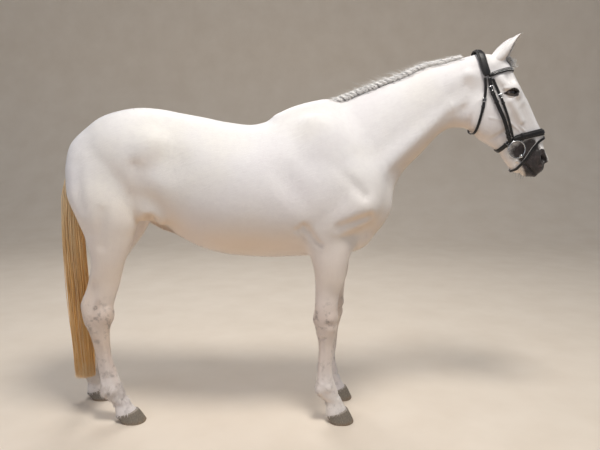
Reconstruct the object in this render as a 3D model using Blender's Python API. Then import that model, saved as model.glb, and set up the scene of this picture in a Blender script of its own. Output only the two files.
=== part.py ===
"""A life-size standing sport horse in a black English bridle, as faceted solids, one per part of body and tack.

Metres, +Z up. The horse looks along +X, its left side is +Y, and its soles stand at Z = 0.
The flesh is one smooth form, written as a signed distance from swept sections and named muscles and bones;
each part of the body is meshed from it and cut off at its own planes, with a thin gap to its neighbour.
"""

import math

import bmesh
import bpy
import numpy as np
from mathutils import Vector

GAP = 0.0003  # between neighbouring solids

# ---------------------------------------------------------------- driving sizes
# The horse stands 1.62 m at the withers, and its two fore hooves are 0.29 m apart between their centres.

# Trunk sections along X: under line, top line, half width, height of the widest point, roundness above it.
TRUNK = {
    "tail head": (-1.130, 1.080, 1.425, 0.110, 1.28, 2.0),
    "buttock": (-1.050, 1.020, 1.520, 0.195, 1.29, 2.0),
    "hip joint": (-0.940, 1.010, 1.576, 0.240, 1.29, 2.0),
    "croup": (-0.800, 1.030, 1.604, 0.258, 1.30, 2.0),
    "hip bone": (-0.700, 1.010, 1.596, 0.258, 1.29, 2.2),
    "flank": (-0.610, 0.943, 1.579, 0.262, 1.25, 2.2),
    "loin": (-0.500, 0.887, 1.559, 0.280, 1.21, 2.2),
    "last rib": (-0.360, 0.851, 1.531, 0.298, 1.18, 2.1),
    "back": (-0.250, 0.842, 1.519, 0.303, 1.17, 2.0),
    "saddle": (-0.150, 0.838, 1.540, 0.298, 1.16, 1.8),
    "girth": (-0.040, 0.842, 1.600, 0.282, 1.15, 1.6),
    "withers": (0.050, 0.845, 1.625, 0.262, 1.15, 1.55),
    "front of withers": (0.150, 0.858, 1.632, 0.240, 1.15, 1.6),
    "chest": (0.260, 0.885, 1.560, 0.215, 1.15, 1.8),
    "breast": (0.370, 0.945, 1.430, 0.170, 1.15, 2.0),
    "breast point": (0.440, 1.020, 1.300, 0.110, 1.16, 2.0),
}

# Neck sections along its own axis: under line, crest, half width.
NECK_ROOT = (0.20, 1.40)
NECK_RISE = math.radians(30)
NECK = {
    "inside the chest": (0.000, -0.350, 0.225, 0.165),
    "base": (0.130, -0.322, 0.196, 0.146),
    "low neck": (0.230, -0.268, 0.183, 0.122),
    "middle": (0.350, -0.234, 0.163, 0.103),
    "upper neck": (0.450, -0.202, 0.148, 0.092),
    "throatlatch": (0.560, -0.168, 0.138, 0.082),
    "behind the poll": (0.650, -0.155, 0.111, 0.076),
    "poll": (0.800, -0.120, 0.068, 0.066),
}

# Head sections from the poll down its own axis: jaw line, face line, half width, level of the widest point.
HEAD_ROOT = (0.90, 1.80)
HEAD_DROP = math.radians(-60)
HEAD = {
    "poll": (-0.060, -0.120, 0.040, 0.048, 0.00),
    "between the ears": (0.000, -0.150, 0.100, 0.066, 0.03),
    "forehead": (0.060, -0.172, 0.128, 0.082, 0.05),
    "temples": (0.120, -0.188, 0.124, 0.090, 0.05),
    "eyes": (0.180, -0.196, 0.123, 0.093, 0.05),
    "cheeks": (0.250, -0.192, 0.124, 0.087, 0.04),
    "end of the crest": (0.310, -0.184, 0.123, 0.073, 0.03),
    "middle of the face": (0.370, -0.145, 0.121, 0.060, 0.02),
    "bars": (0.430, -0.114, 0.122, 0.051, 0.01),
    "above the nostrils": (0.490, -0.106, 0.103, 0.050, 0.00),
    "nostrils": (0.545, -0.084, 0.084, 0.052, 0.00),
    "upper lip": (0.590, -0.045, 0.050, 0.044, 0.00),
    "lips": (0.622, -0.026, 0.000, 0.026, -0.01),
}

# Right fore leg, from the elbow down: height, back, front, half width, distance out from the middle plane.
FORE_LEG = {
    "elbow": (0.960, 0.010, 0.270, 0.075, 0.150),
    "top of the forearm": (0.860, 0.050, 0.250, 0.071, 0.152),
    "forearm": (0.760, 0.072, 0.213, 0.060, 0.150),
    "low forearm": (0.655, 0.076, 0.196, 0.046, 0.147),
    "top of the knee": (0.600, 0.073, 0.191, 0.050, 0.146),
    "knee": (0.540, 0.071, 0.189, 0.053, 0.146),
    "below the knee": (0.480, 0.081, 0.183, 0.044, 0.146),
    "cannon": (0.400, 0.095, 0.168, 0.029, 0.146),
    "low cannon": (0.270, 0.087, 0.166, 0.027, 0.146),
    "fetlock": (0.180, 0.080, 0.189, 0.037, 0.146),
    "under the fetlock": (0.135, 0.103, 0.206, 0.034, 0.146),
    "pastern": (0.105, 0.130, 0.219, 0.030, 0.146),
    "coronet": (0.050, 0.132, 0.250, 0.046, 0.146),
}

# Right hind leg, from the croup down.
HIND_LEG = {
    "side of the croup": (1.400, -1.110, -0.900, 0.090, 0.120),
    "hip": (1.290, -1.147, -0.823, 0.120, 0.134),
    "thigh": (1.190, -1.141, -0.797, 0.124, 0.149),
    "stifle": (1.060, -1.093, -0.795, 0.104, 0.166),
    "top of the gaskin": (0.960, -1.058, -0.820, 0.083, 0.163),
    "gaskin": (0.850, -1.039, -0.864, 0.066, 0.157),
    "low gaskin": (0.720, -1.066, -0.903, 0.047, 0.146),
    "point of the hock": (0.610, -1.105, -0.941, 0.044, 0.138),
    "hock": (0.550, -1.099, -0.951, 0.052, 0.136),
    "top of the cannon": (0.455, -1.067, -0.970, 0.038, 0.135),
    "cannon": (0.360, -1.046, -0.966, 0.028, 0.135),
    "low cannon": (0.250, -1.031, -0.937, 0.029, 0.135),
    "fetlock": (0.165, -1.023, -0.911, 0.039, 0.137),
    "under the fetlock": (0.130, -1.000, -0.895, 0.036, 0.138),
    "pastern": (0.100, -0.966, -0.878, 0.031, 0.140),
    "coronet": (0.045, -0.953, -0.834, 0.046, 0.143),
}

# How far the left legs stand ahead of the right ones, by height: the left hind is set back.
LEFT_FORE_AHEAD = (
    (0.0, 0.016), (0.1, 0.012), (0.2, 0.022), (0.3, 0.038), (0.45, 0.048), (0.7, 0.052), (0.9, 0.030), (1.05, 0.0),
)
LEFT_HIND_AHEAD = (
    (0.0, -0.250), (0.06, -0.245), (0.13, -0.212), (0.2, -0.195), (0.4, -0.150), (0.6, -0.105),
    (0.8, -0.070), (0.9, -0.033), (1.0, -0.008), (1.1, 0.0),
)


# ---------------------------------------------------------------- small mathematics of the form
def through(places, values, at):
    """A smooth curve through the stations that never overshoots them."""
    x = np.asarray(places, float)
    y = np.asarray(values, float)
    step = np.diff(x)
    slope = np.diff(y) / step
    tangent = np.zeros_like(y)
    same = slope[1:] * slope[:-1] > 0
    weight = step[1:] + step[:-1]
    harmonic = 3 * weight / (
        (weight + step[1:]) / np.where(same, slope[:-1], 1) + (weight + step[:-1]) / np.where(same, slope[1:], 1)
    )
    tangent[1:-1] = np.where(same, harmonic, 0)
    tangent[0] = slope[0]
    tangent[-1] = slope[-1]
    at = np.clip(at, x[0], x[-1])
    cell = np.clip(np.searchsorted(x, at) - 1, 0, len(step) - 1)
    h = step[cell]
    t = (at - x[cell]) / h
    return (
        y[cell] * (2 * t**3 - 3 * t**2 + 1)
        + tangent[cell] * h * (t**3 - 2 * t**2 + t)
        + y[cell + 1] * (3 * t**2 - 2 * t**3)
        + tangent[cell + 1] * h * (t**3 - t**2)
    )


def stations(table, at):
    """Every column of a table of named stations, at the places asked for."""
    rows = sorted(table.values())
    places = [row[0] for row in rows]
    fine = np.linspace(places[0], places[-1], 600)
    at = np.clip(at, places[0], places[-1])
    return [np.interp(at, fine, through(places, column, fine)) for column in list(zip(*rows))[1:]]


def join(first, second, blend):
    """The union of two forms, with a fillet about as wide as blend."""
    mix = np.clip(0.5 + 0.5 * (second - first) / blend, 0, 1)
    return second + (first - second) * mix - blend * mix * (1 - mix)


def carve(form, tool, blend):
    return -join(-form, tool, blend)


def section(across, along, half, low, high, widest, round_low, round_high):
    """Distance from an oval section: half wide, from low to high, widest at one level."""
    offset = along - widest
    reach = np.where(offset > 0, high - widest, widest - low)
    power = np.where(offset > 0, round_high, round_low)
    ratio = (np.abs(across / half) ** power + np.abs(offset / reach) ** power) ** (1 / power) + 1e-9
    return np.hypot(across, offset) * (1 - 1 / ratio) - 1e-9


def ball(p, centre, radii, tilt=0.0, mirrored=True):
    """Distance from an ellipsoid tilted in the side plane; a mirrored one stands on both sides."""
    x, y, z = p
    dx = x - centre[0]
    dy = (np.abs(y) if mirrored else y) - centre[1]
    dz = z - centre[2]
    c = math.cos(math.radians(tilt))
    s = math.sin(math.radians(tilt))
    u = (dx * c + dz * s) / radii[0]
    v = dy / radii[1]
    w = (dz * c - dx * s) / radii[2]
    size = np.sqrt(u * u + v * v + w * w) + 1e-9
    grade = np.sqrt((u / radii[0]) ** 2 + (v / radii[1]) ** 2 + (w / radii[2]) ** 2) + 1e-9
    return size * (size - 1) / grade


def cord(p, start, end, first, last=None, mirrored=True):
    """Distance from a rounded cone between two points."""
    last = first if last is None else last
    x, y, z = p
    y = np.abs(y) if mirrored else y
    way = [b - a for a, b in zip(start, end)]
    length = sum(w * w for w in way)
    t = ((x - start[0]) * way[0] + (y - start[1]) * way[1] + (z - start[2]) * way[2]) / length
    t = np.clip(t, 0, 1)
    gap = (x - start[0] - t * way[0]) ** 2 + (y - start[1] - t * way[1]) ** 2 + (z - start[2] - t * way[2]) ** 2
    return np.sqrt(gap) - (first + (last - first) * t)


def turned(x, z, root, angle):
    """Side-plane coordinates along and across an axis that starts at root."""
    c = math.cos(angle)
    s = math.sin(angle)
    return (x - root[0]) * c + (z - root[1]) * s, (z - root[1]) * c - (x - root[0]) * s


def placed(along, across, root, angle):
    """The inverse of turned."""
    c = math.cos(angle)
    s = math.sin(angle)
    return root[0] + along * c - across * s, root[1] + along * s + across * c


# ---------------------------------------------------------------- the flesh
def trunk_form(p):
    x, y, z = p
    low, high, half, widest, roundness = stations(TRUNK, x)
    form = section(y, z, half, low, high, widest, 2.1, roundness)
    form = carve(form, x + 1.150, 0.06)
    form = carve(form, 0.455 - x, 0.06)
    return form


def trunk_muscles(form, p):
    # Shoulder blade and the muscles over it, then the point of the shoulder and the upper arm.
    form = join(form, ball(p, (0.165, 0.140, 1.350), (0.230, 0.066, 0.120), 118), 0.09)
    form = join(form, ball(p, (0.285, 0.160, 1.200), (0.120, 0.072, 0.135), 20), 0.06)
    form = join(form, ball(p, (0.085, 0.185, 1.150), (0.150, 0.062, 0.150), 30), 0.06)
    form = join(form, cord(p, (0.290, 0.170, 1.120), (0.110, 0.160, 0.990), 0.090, 0.075), 0.05)
    # Breast muscles, parted down the middle.
    form = join(form, ball(p, (0.335, 0.080, 1.120), (0.118, 0.085, 0.150), -15), 0.05)
    form = join(form, ball(p, (0.240, 0.075, 0.960), (0.120, 0.075, 0.085)), 0.05)
    # Withers, and the muscle along the back on each side of the spine.
    form = join(form, cord(p, (-0.100, 0.020, 1.535), (0.120, 0.012, 1.600), 0.030, 0.030), 0.06)
    # Rump: the muscle over the hip, and the bony point of the hip.
    form = join(form, ball(p, (-0.850, 0.118, 1.400), (0.200, 0.130, 0.158), -6), 0.08)
    form = join(form, ball(p, (-0.715, 0.205, 1.400), (0.075, 0.055, 0.070)), 0.06)
    form = join(form, ball(p, (-1.035, 0.120, 1.345), (0.100, 0.090, 0.120), 20), 0.06)
    # The fold of skin between the flank and the stifle.
    form = join(form, ball(p, (-0.745, 0.170, 1.100), (0.100, 0.048, 0.060), -38), 0.06)
    # Hollow of the flank, and the shallow groove behind the shoulder.
    form = carve(form, ball(p, (-0.610, 0.330, 1.360), (0.100, 0.060, 0.110)), 0.06)
    form = carve(form, ball(p, (-0.060, 0.320, 1.300), (0.055, 0.048, 0.190), 28), 0.06)
    return form


def neck_form(p):
    x, y, z = p
    along, across = turned(x, z, NECK_ROOT, NECK_RISE)
    low, high, half = stations(NECK, along)
    widest = low + 0.42 * (high - low)
    form = section(y, across, half, low, high, widest, 2.0, 1.75)
    form = carve(form, along + 0.06, 0.05)
    form = carve(form, 0.82 - along, 0.05)
    return form


def neck_muscles(form, p):
    # The long muscle from behind the jaw to the shoulder, with the jugular groove under it, and the atlas wing.
    form = join(form, cord(p, (0.820, 0.034, 1.650), (0.400, 0.105, 1.300), 0.012, 0.038), 0.07)
    form = carve(form, cord(p, (0.745, 0.098, 1.545), (0.470, 0.160, 1.265), 0.012, 0.016), 0.04)
    form = join(form, ball(p, (0.850, 0.055, 1.735), (0.055, 0.026, 0.034), -50), 0.03)
    # The gullet, which rounds off the corner between the neck and the jaw.
    form = join(form, cord(p, (0.715, 0.0, 1.540), (0.783, 0.0, 1.562), 0.050), 0.04)
    form = join(form, cord(p, (0.783, 0.0, 1.562), (0.865, 0.0, 1.535), 0.050, 0.046), 0.04)
    return form


def head_form(p):
    x, y, z = p
    along, across = turned(x, z, HEAD_ROOT, HEAD_DROP)
    low, high, half, widest = stations(HEAD, along)
    form = section(y, across, half, low, high, widest, 2.4, 2.5)
    form = carve(form, along + 0.065, 0.04)
    form = carve(form, 0.626 - along, 0.02)
    return form


def on_head(along, out, across):
    x, z = placed(along, across, HEAD_ROOT, HEAD_DROP)
    return (x, out, z)


def head_bones(form, p):
    # Rim of the eye socket, the arch behind it, the hollow above it, the crest of the cheek bone.
    form = join(form, ball(p, on_head(0.170, 0.082, 0.072), (0.046, 0.022, 0.026), -60), 0.025)
    form = join(form, cord(p, on_head(0.080, 0.078, 0.030), on_head(0.150, 0.092, 0.050), 0.012, 0.012), 0.03)
    form = carve(form, ball(p, on_head(0.112, 0.094, 0.082), (0.026, 0.014, 0.018), -60), 0.02)
    form = join(form, cord(p, on_head(0.215, 0.086, 0.028), on_head(0.330, 0.064, 0.038), 0.010, 0.007), 0.025)
    # The round cheek muscle and the edge of the jaw.
    form = join(form, ball(p, on_head(0.215, 0.052, -0.090), (0.118, 0.036, 0.098), -60), 0.03)
    # The hollow between the jaw bones.
    form = carve(form, cord(p, on_head(0.230, 0, -0.215), on_head(0.430, 0, -0.135), 0.026, 0.012), 0.03)
    # Nostril, lips and chin.
    form = join(form, ball(p, on_head(0.548, 0.038, 0.052), (0.036, 0.019, 0.026), -35), 0.02)
    form = join(form, ball(p, on_head(0.590, 0.0, 0.022), (0.030, 0.040, 0.034), -60, False), 0.02)
    form = join(form, ball(p, on_head(0.575, 0.0, -0.040), (0.030, 0.034, 0.024), -60, False), 0.02)
    form = join(form, ball(p, on_head(0.530, 0.0, -0.076), (0.032, 0.028, 0.022), -60, False), 0.02)
    form = carve(form, ball(p, on_head(0.546, 0.058, 0.054), (0.022, 0.010, 0.008), -35), 0.008)
    form = carve(form, cord(p, on_head(0.490, 0.056, -0.050), on_head(0.628, 0.030, -0.004), 0.004, 0.003), 0.01)
    return form


def leg_form(p, table, side, ahead):
    """One leg: oval sections from its top to the coronet, moved forward or back by height."""
    x, y, z = p
    back, front, half, out = stations(table, z)
    moved = x - np.interp(z, *zip(*ahead)) if ahead else x
    middle = 0.5 * (back + front)
    form = section(y - side * out, moved, half, back, front, middle, 2.15, 2.15)
    top = max(row[0] for row in table.values())
    return carve(form, top - z, 0.05)


def fore_leg_bones(form, p, side, ahead):
    """Knee, tendons, fetlock and the bulges of the forearm on one fore leg."""
    x, y, z = p
    q = (x - np.interp(z, *zip(*ahead)), y, z) if ahead else p
    out = side * 0.146
    form = join(form, ball(q, (0.175, side * 0.165, 0.800), (0.050, 0.040, 0.110), 0, False), 0.03)
    form = join(form, ball(q, (0.088, out, 0.545), (0.022, 0.022, 0.034), 0, False), 0.015)
    form = join(form, ball(q, (0.150, out, 0.555), (0.038, 0.056, 0.040), 0, False), 0.02)
    form = join(form, ball(q, (0.148, out, 0.500), (0.036, 0.050, 0.026), 0, False), 0.02)
    for edge in (-1, 1):
        top, foot = (0.117, out + edge * 0.034, 0.450), (0.112, out + edge * 0.033, 0.225)
        groove = cord(q, top, foot, 0.007, 0.007, False)
        form = carve(form, groove, 0.012)
        form = join(form, ball(q, (0.100, out + edge * 0.018, 0.172), (0.020, 0.018, 0.024), 0, False), 0.012)
    return form


def hind_leg_bones(form, p, side, ahead):
    """Hock, tendon of the heel, tendons of the cannon and fetlock on one hind leg."""
    x, y, z = p
    q = (x - np.interp(z, *zip(*ahead)), y, z) if ahead else p
    out = side * 0.136
    form = join(form, ball(q, (-0.990, side * 0.134, 0.565), (0.046, 0.056, 0.052), 20, False), 0.02)
    form = join(form, cord(q, (-1.082, out, 0.610), (-1.070, out, 0.520), 0.022, 0.018, False), 0.02)
    for edge in (-1, 1):
        hollow = ball(q, (-1.040, out + edge * 0.056, 0.670), (0.022, 0.020, 0.070), -20, False)
        form = carve(form, hollow, 0.03)
        top, foot = (-1.030, out + edge * 0.036, 0.440), (-1.004, out + edge * 0.035, 0.215)
        groove = cord(q, top, foot, 0.007, 0.007, False)
        form = carve(form, groove, 0.012)
        form = join(form, ball(q, (-1.003, out + edge * 0.018, 0.160), (0.021, 0.018, 0.024), 0, False), 0.012)
    return form


def flesh(p):
    """Signed distance from the living outline of the whole horse without hooves, ears, eyes and long hair."""
    form = trunk_form(p)
    form = trunk_muscles(form, p)
    form = join(form, neck_muscles(neck_form(p), p), 0.06)
    form = join(form, head_bones(head_form(p), p), 0.03)
    for side, fore_ahead, hind_ahead in ((-1, None, None), (1, LEFT_FORE_AHEAD, LEFT_HIND_AHEAD)):
        fore = fore_leg_bones(leg_form(p, FORE_LEG, side, fore_ahead), p, side, fore_ahead)
        form = join(form, fore, 0.045)
        hind = hind_leg_bones(leg_form(p, HIND_LEG, side, hind_ahead), p, side, hind_ahead)
        form = join(form, hind, 0.035)
    # The edge where the muscles of the thigh stand out from the flank.
    form = carve(form, cord(p, (-0.775, 0.300, 1.310), (-0.758, 0.290, 1.150), 0.026, 0.022), 0.035)
    return form


# ---------------------------------------------------------------- solids from the form
def grid_lines(bounds, cell):
    return [np.linspace(low, high, max(3, round((high - low) / cell) + 1)) for low, high in bounds]


def spread(values, old, new, axis):
    """Values on one axis of a coarse grid, blended onto a finer one."""
    left = np.clip(np.searchsorted(old, new) - 1, 0, len(old) - 2)
    shape = [1, 1, 1]
    shape[axis] = -1
    share = ((new - old[left]) / (old[left + 1] - old[left])).reshape(shape)
    return np.take(values, left, axis) * (1 - share) + np.take(values, left + 1, axis) * share


def sampled(form, axes):
    """The form on a grid: coarse everywhere, exact near the surface."""
    rough = [np.append(line[:-1:4], line[-1]) for line in axes]
    mesh = np.meshgrid(*rough, indexing="ij")
    values = form(tuple(m.ravel() for m in mesh)).reshape(mesh[0].shape)
    for axis in range(3):
        values = spread(values, rough[axis], axes[axis], axis)
    cell = max(line[1] - line[0] for line in axes)
    near = np.abs(values) < 5.5 * cell
    mesh = np.meshgrid(*axes, indexing="ij")
    values[near] = form(tuple(m[near] for m in mesh))
    for axis in range(3):
        edge = [slice(None)] * 3
        for end in (0, -1):
            edge[axis] = end
            values[tuple(edge)] = np.maximum(values[tuple(edge)], 0.2 * cell)
    return values


def softened(values):
    """Values averaged with their neighbours on the grid, so that nothing thinner than a cell is left."""
    for axis in range(3):
        inner = [slice(None)] * 3
        inner[axis] = slice(1, -1)
        before = list(inner)
        before[axis] = slice(0, -2)
        after = list(inner)
        after[axis] = slice(2, None)
        mixed = values.copy()
        mixed[tuple(inner)] = 0.5 * values[tuple(inner)] + 0.25 * (values[tuple(before)] + values[tuple(after)])
        values = mixed
    return values


def surface_net(values, axes):
    """Points and four-sided faces of the surface where the values change sign."""
    inside = values < 0
    shape = np.array(values.shape) - 1
    total = np.zeros((int(shape.prod()), 3))
    count = np.zeros(int(shape.prod()))
    sides = []
    for axis in range(3):
        first = [slice(0, -1) if a == axis else slice(1, -1) for a in range(3)]
        last = [slice(1, None) if a == axis else slice(1, -1) for a in range(3)]
        crossing = inside[tuple(first)] != inside[tuple(last)]
        place = np.argwhere(crossing) + [0 if a == axis else 1 for a in range(3)]
        start = values[tuple(first)][crossing]
        end = values[tuple(last)][crossing]
        point = np.stack([axes[a][place[:, a]] for a in range(3)], 1)
        point[:, axis] += start / (start - end) * (axes[axis][place[:, axis] + 1] - axes[axis][place[:, axis]])
        b, c = (axis + 1) % 3, (axis + 2) % 3
        ring = []
        for step_b, step_c in ((-1, -1), (0, -1), (0, 0), (-1, 0)):
            cell = place.copy()
            cell[:, b] += step_b
            cell[:, c] += step_c
            flat = np.ravel_multi_index(cell.T, shape)
            np.add.at(total, flat, point)
            np.add.at(count, flat, 1)
            ring.append(flat)
        ring = np.stack(ring, 1)
        sides.append(np.where((start < 0)[:, None], ring, ring[:, ::-1]))
    used = np.flatnonzero(count)
    index = np.zeros(len(count), int)
    index[used] = np.arange(len(used))
    return total[used] / count[used, None], index[np.concatenate(sides)]


def new_object(name, points, faces):
    mesh = bpy.data.meshes.new(name)
    mesh.from_pydata([tuple(map(float, q)) for q in points], [], [tuple(map(int, f)) for f in faces])
    made = bpy.data.objects.new(name, mesh)
    bpy.context.scene.collection.objects.link(made)
    return made


def apply_modifiers(made):
    """Bakes an object's modifiers into its mesh."""
    bpy.context.view_layer.update()
    evaluated = made.evaluated_get(bpy.context.evaluated_depsgraph_get())
    mesh = bpy.data.meshes.new_from_object(evaluated)
    made.modifiers.clear()
    made.data = mesh
    return made


def biggest_piece(mesh):
    """Keeps only the largest connected piece of a bmesh."""
    left = set(mesh.verts)
    pieces = []
    while left:
        piece = {left.pop()}
        front = set(piece)
        while front:
            front = {edge.other_vert(v) for v in front for edge in v.link_edges} - piece
            piece |= front
        left -= piece
        pieces.append(piece)
    pieces.sort(key=len)
    for piece in pieces[:-1]:
        bmesh.ops.delete(mesh, geom=list(piece), context="VERTS")


def cut_off(made, planes):
    """Cuts a closed mesh at planes, given as a point and the direction of the side to remove, and closes it again."""
    mesh = bmesh.new()
    mesh.from_mesh(made.data)
    for point, normal in planes:
        away = Vector(normal).normalized()
        bmesh.ops.bisect_plane(
            mesh,
            geom=mesh.verts[:] + mesh.edges[:] + mesh.faces[:],
            dist=1e-6,
            plane_co=Vector(point) - away * GAP / 2,
            plane_no=away,
            clear_outer=True,
        )
        open_edges = [edge for edge in mesh.edges if edge.is_boundary]
        bmesh.ops.holes_fill(mesh, edges=open_edges, sides=0)
        bmesh.ops.dissolve_degenerate(mesh, dist=1e-5, edges=mesh.edges[:])
    biggest_piece(mesh)
    bmesh.ops.triangulate(mesh, faces=mesh.faces[:])
    bmesh.ops.recalc_face_normals(mesh, faces=mesh.faces[:])
    mesh.to_mesh(made.data)
    mesh.free()
    return made


def is_closed(made):
    """True when every edge of a mesh is shared by exactly two faces and no two points fall together."""
    mesh = bmesh.new()
    mesh.from_mesh(made.data)
    whole = all(len(edge.link_faces) == 2 for edge in mesh.edges) and all(v.is_manifold for v in mesh.verts)
    count = len(mesh.verts)
    bmesh.ops.remove_doubles(mesh, verts=mesh.verts[:], dist=2e-6)
    whole = whole and len(mesh.verts) == count
    mesh.free()
    return whole


def from_form(name, form, bounds, cell, triangles, planes=()):
    """A solid of the form inside some bounds, thinned to about so many triangles and cut at planes.

    Where the surface touches itself in one cell of the grid, the grid is moved a little and tried again.
    """
    for attempt in range(8):
        nudge = 0.17 * cell * attempt
        axes = grid_lines([(low - nudge, high + nudge) for low, high in bounds], cell)
        made = new_object(name, *surface_net(softened(sampled(form, axes)), axes))
        thin = made.modifiers.new("thin", "DECIMATE")
        thin.ratio = triangles / (2 * len(made.data.polygons))
        apply_modifiers(made)
        cut_off(made, planes)
        if is_closed(made):
            break
        bpy.data.objects.remove(made)
    return made


def grown(made, by):
    """A copy moved out along its normals, as a cutter that leaves a gap."""
    copy = bpy.data.objects.new(made.name + "_cutter", made.data.copy())
    bpy.context.scene.collection.objects.link(copy)
    normals = [vertex.normal.copy() for vertex in copy.data.vertices]
    for vertex, normal in zip(copy.data.vertices, normals):
        vertex.co += normal * by
    copy.hide_render = True
    copy.display_type = "WIRE"
    return copy


def cleared_of(made, others, gap=2.0 * GAP):
    """Cuts the room of its neighbours, and a gap round them, out of an object."""
    for other in others:
        cutter = grown(other, gap)
        trim = made.modifiers.new("room for " + other.name, "BOOLEAN")
        trim.operation = "DIFFERENCE"
        trim.solver = "EXACT"
        trim.object = cutter
        apply_modifiers(made)
        bpy.data.objects.remove(cutter)
        mesh = bmesh.new()
        mesh.from_mesh(made.data)
        bmesh.ops.dissolve_degenerate(mesh, dist=1e-5, edges=mesh.edges[:])
        biggest_piece(mesh)
        bmesh.ops.triangulate(mesh, faces=mesh.faces[:])
        mesh.to_mesh(made.data)
        mesh.free()
    return made


def box(name, bounds):
    low = [b[0] for b in bounds]
    high = [b[1] for b in bounds]
    points = [(x, y, z) for x in (low[0], high[0]) for y in (low[1], high[1]) for z in (low[2], high[2])]
    faces = [(0, 1, 3, 2), (4, 6, 7, 5), (0, 4, 5, 1), (2, 3, 7, 6), (0, 2, 6, 4), (1, 5, 7, 3)]
    return new_object(name, points, faces)


def skinned(name, rings, closed=False):
    """A solid through rings of points: capped at both ends, or joined end to end."""
    count = len(rings[0])
    points = [point for ring in rings for point in ring]
    faces = []
    for i in range(len(rings) if closed else len(rings) - 1):
        a = i * count
        b = (i + 1) % len(rings) * count
        faces += [(a + k, a + (k + 1) % count, b + (k + 1) % count, b + k) for k in range(count)]
    if not closed:
        faces.append(tuple(range(count))[::-1])
        faces.append(tuple(range(len(points) - count, len(points))))
    made = new_object(name, points, faces)
    mesh = bmesh.new()
    mesh.from_mesh(made.data)
    bmesh.ops.recalc_face_normals(mesh, faces=mesh.faces[:])
    bmesh.ops.triangulate(mesh, faces=mesh.faces[:])
    mesh.to_mesh(made.data)
    mesh.free()
    return made


# ---------------------------------------------------------------- the parts of the body
POLL_CUT = ((0.818, 0.0, 1.690), (-0.988, 0.0, 0.152))
NECK_CUT = ((0.315, 0.0, 1.415), (0.845, 0.0, 0.535))
KNEE_CUTS = (0.620, 0.475, 0.155)
HOCK_CUTS = (0.660, 0.460, 0.148)
FORE_TOP = 0.872
HIND_TOP = 0.985
FORE_CORONET = (0.190, 0.053, 0.283)  # X, height there, rise per metre forward
HIND_CORONET = (-0.894, 0.048, 0.260)


def foot_shift(ahead):
    return float(np.interp(0.04, *zip(*ahead))) if ahead else 0.0


def opposite(plane):
    return plane[0], tuple(-n for n in plane[1])


def level(height, up):
    return (0.0, 0.0, height), (0.0, 0.0, 1.0 if up else -1.0)


def coronet_plane(coronet, ahead):
    x, z, rise = coronet
    return (x + ahead, 0.0, z), (rise, 0.0, -1.0)


def make_trunk():
    bounds = ((-1.22, 0.56), (-0.36, 0.36), (0.78, 1.72))
    trunk = from_form("trunk", flesh, bounds, 0.017, 1200, [NECK_CUT])
    rooms = []
    for side in (-1, 1):
        near, far = sorted((side * (0.055 - GAP), side * 0.5))
        rooms.append(box("fore_room", ((0.045 - GAP, 0.42), (near, far), (0.5, FORE_TOP + GAP / 2))))
    rooms.append(box("hind_room", ((-1.5, -0.790 + GAP), (-0.5, 0.5), (0.5, HIND_TOP + GAP / 2))))
    cleared_of(trunk, rooms, 0.0)
    for room in rooms:
        bpy.data.objects.remove(room)
    return trunk


def make_neck():
    bounds = ((0.08, 0.95), (-0.30, 0.30), (1.10, 1.95))
    return from_form("neck", flesh, bounds, 0.014, 480, [opposite(NECK_CUT), opposite(POLL_CUT)])


def make_head():
    bounds = ((0.76, 1.28), (-0.14, 0.14), (1.22, 1.92))
    return from_form("head", flesh, bounds, 0.0078, 1190, [POLL_CUT])


def make_leg(side, kind, ahead):
    """The four pieces of one leg above the hoof."""
    where = "right" if side < 0 else "left"
    fore = kind == "fore"
    cuts = KNEE_CUTS if fore else HOCK_CUTS
    top = FORE_TOP if fore else HIND_TOP
    fore_names = ("forearm", "knee", "fore_cannon", "fore_pastern")
    hind_names = ("gaskin", "hock", "hind_cannon", "hind_pastern")
    names = fore_names if fore else hind_names
    coronet = FORE_CORONET if fore else HIND_CORONET
    shift = foot_shift(ahead)
    inner = side * (0.055 if fore else GAP / 2)
    reach = (0.0, 0.42) if fore else (-1.36, -0.70)
    levels = (top,) + cuts + (0.0,)
    budget = (210, 140, 110, 100)
    pieces = []
    for name, high, low, count in zip(names, levels[:-1], levels[1:], budget):
        across = sorted((inner - side * 0.012, side * 0.30))
        bounds = (reach, across, (low - 0.03, high + 0.03))
        planes = [level(high, True), level(low, False) if low > 0 else coronet_plane(coronet, shift)]
        if high == top:
            planes.append(((0, inner, 0), (0, -side, 0)))
            planes.append(((0.045, 0, 0), (-1, 0, 0)) if fore else ((-0.790, 0, 0), (1, 0, 0)))
        pieces.append(from_form(f"{name}_{where}", flesh, bounds, 0.0085, count, planes))
    return pieces


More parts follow.
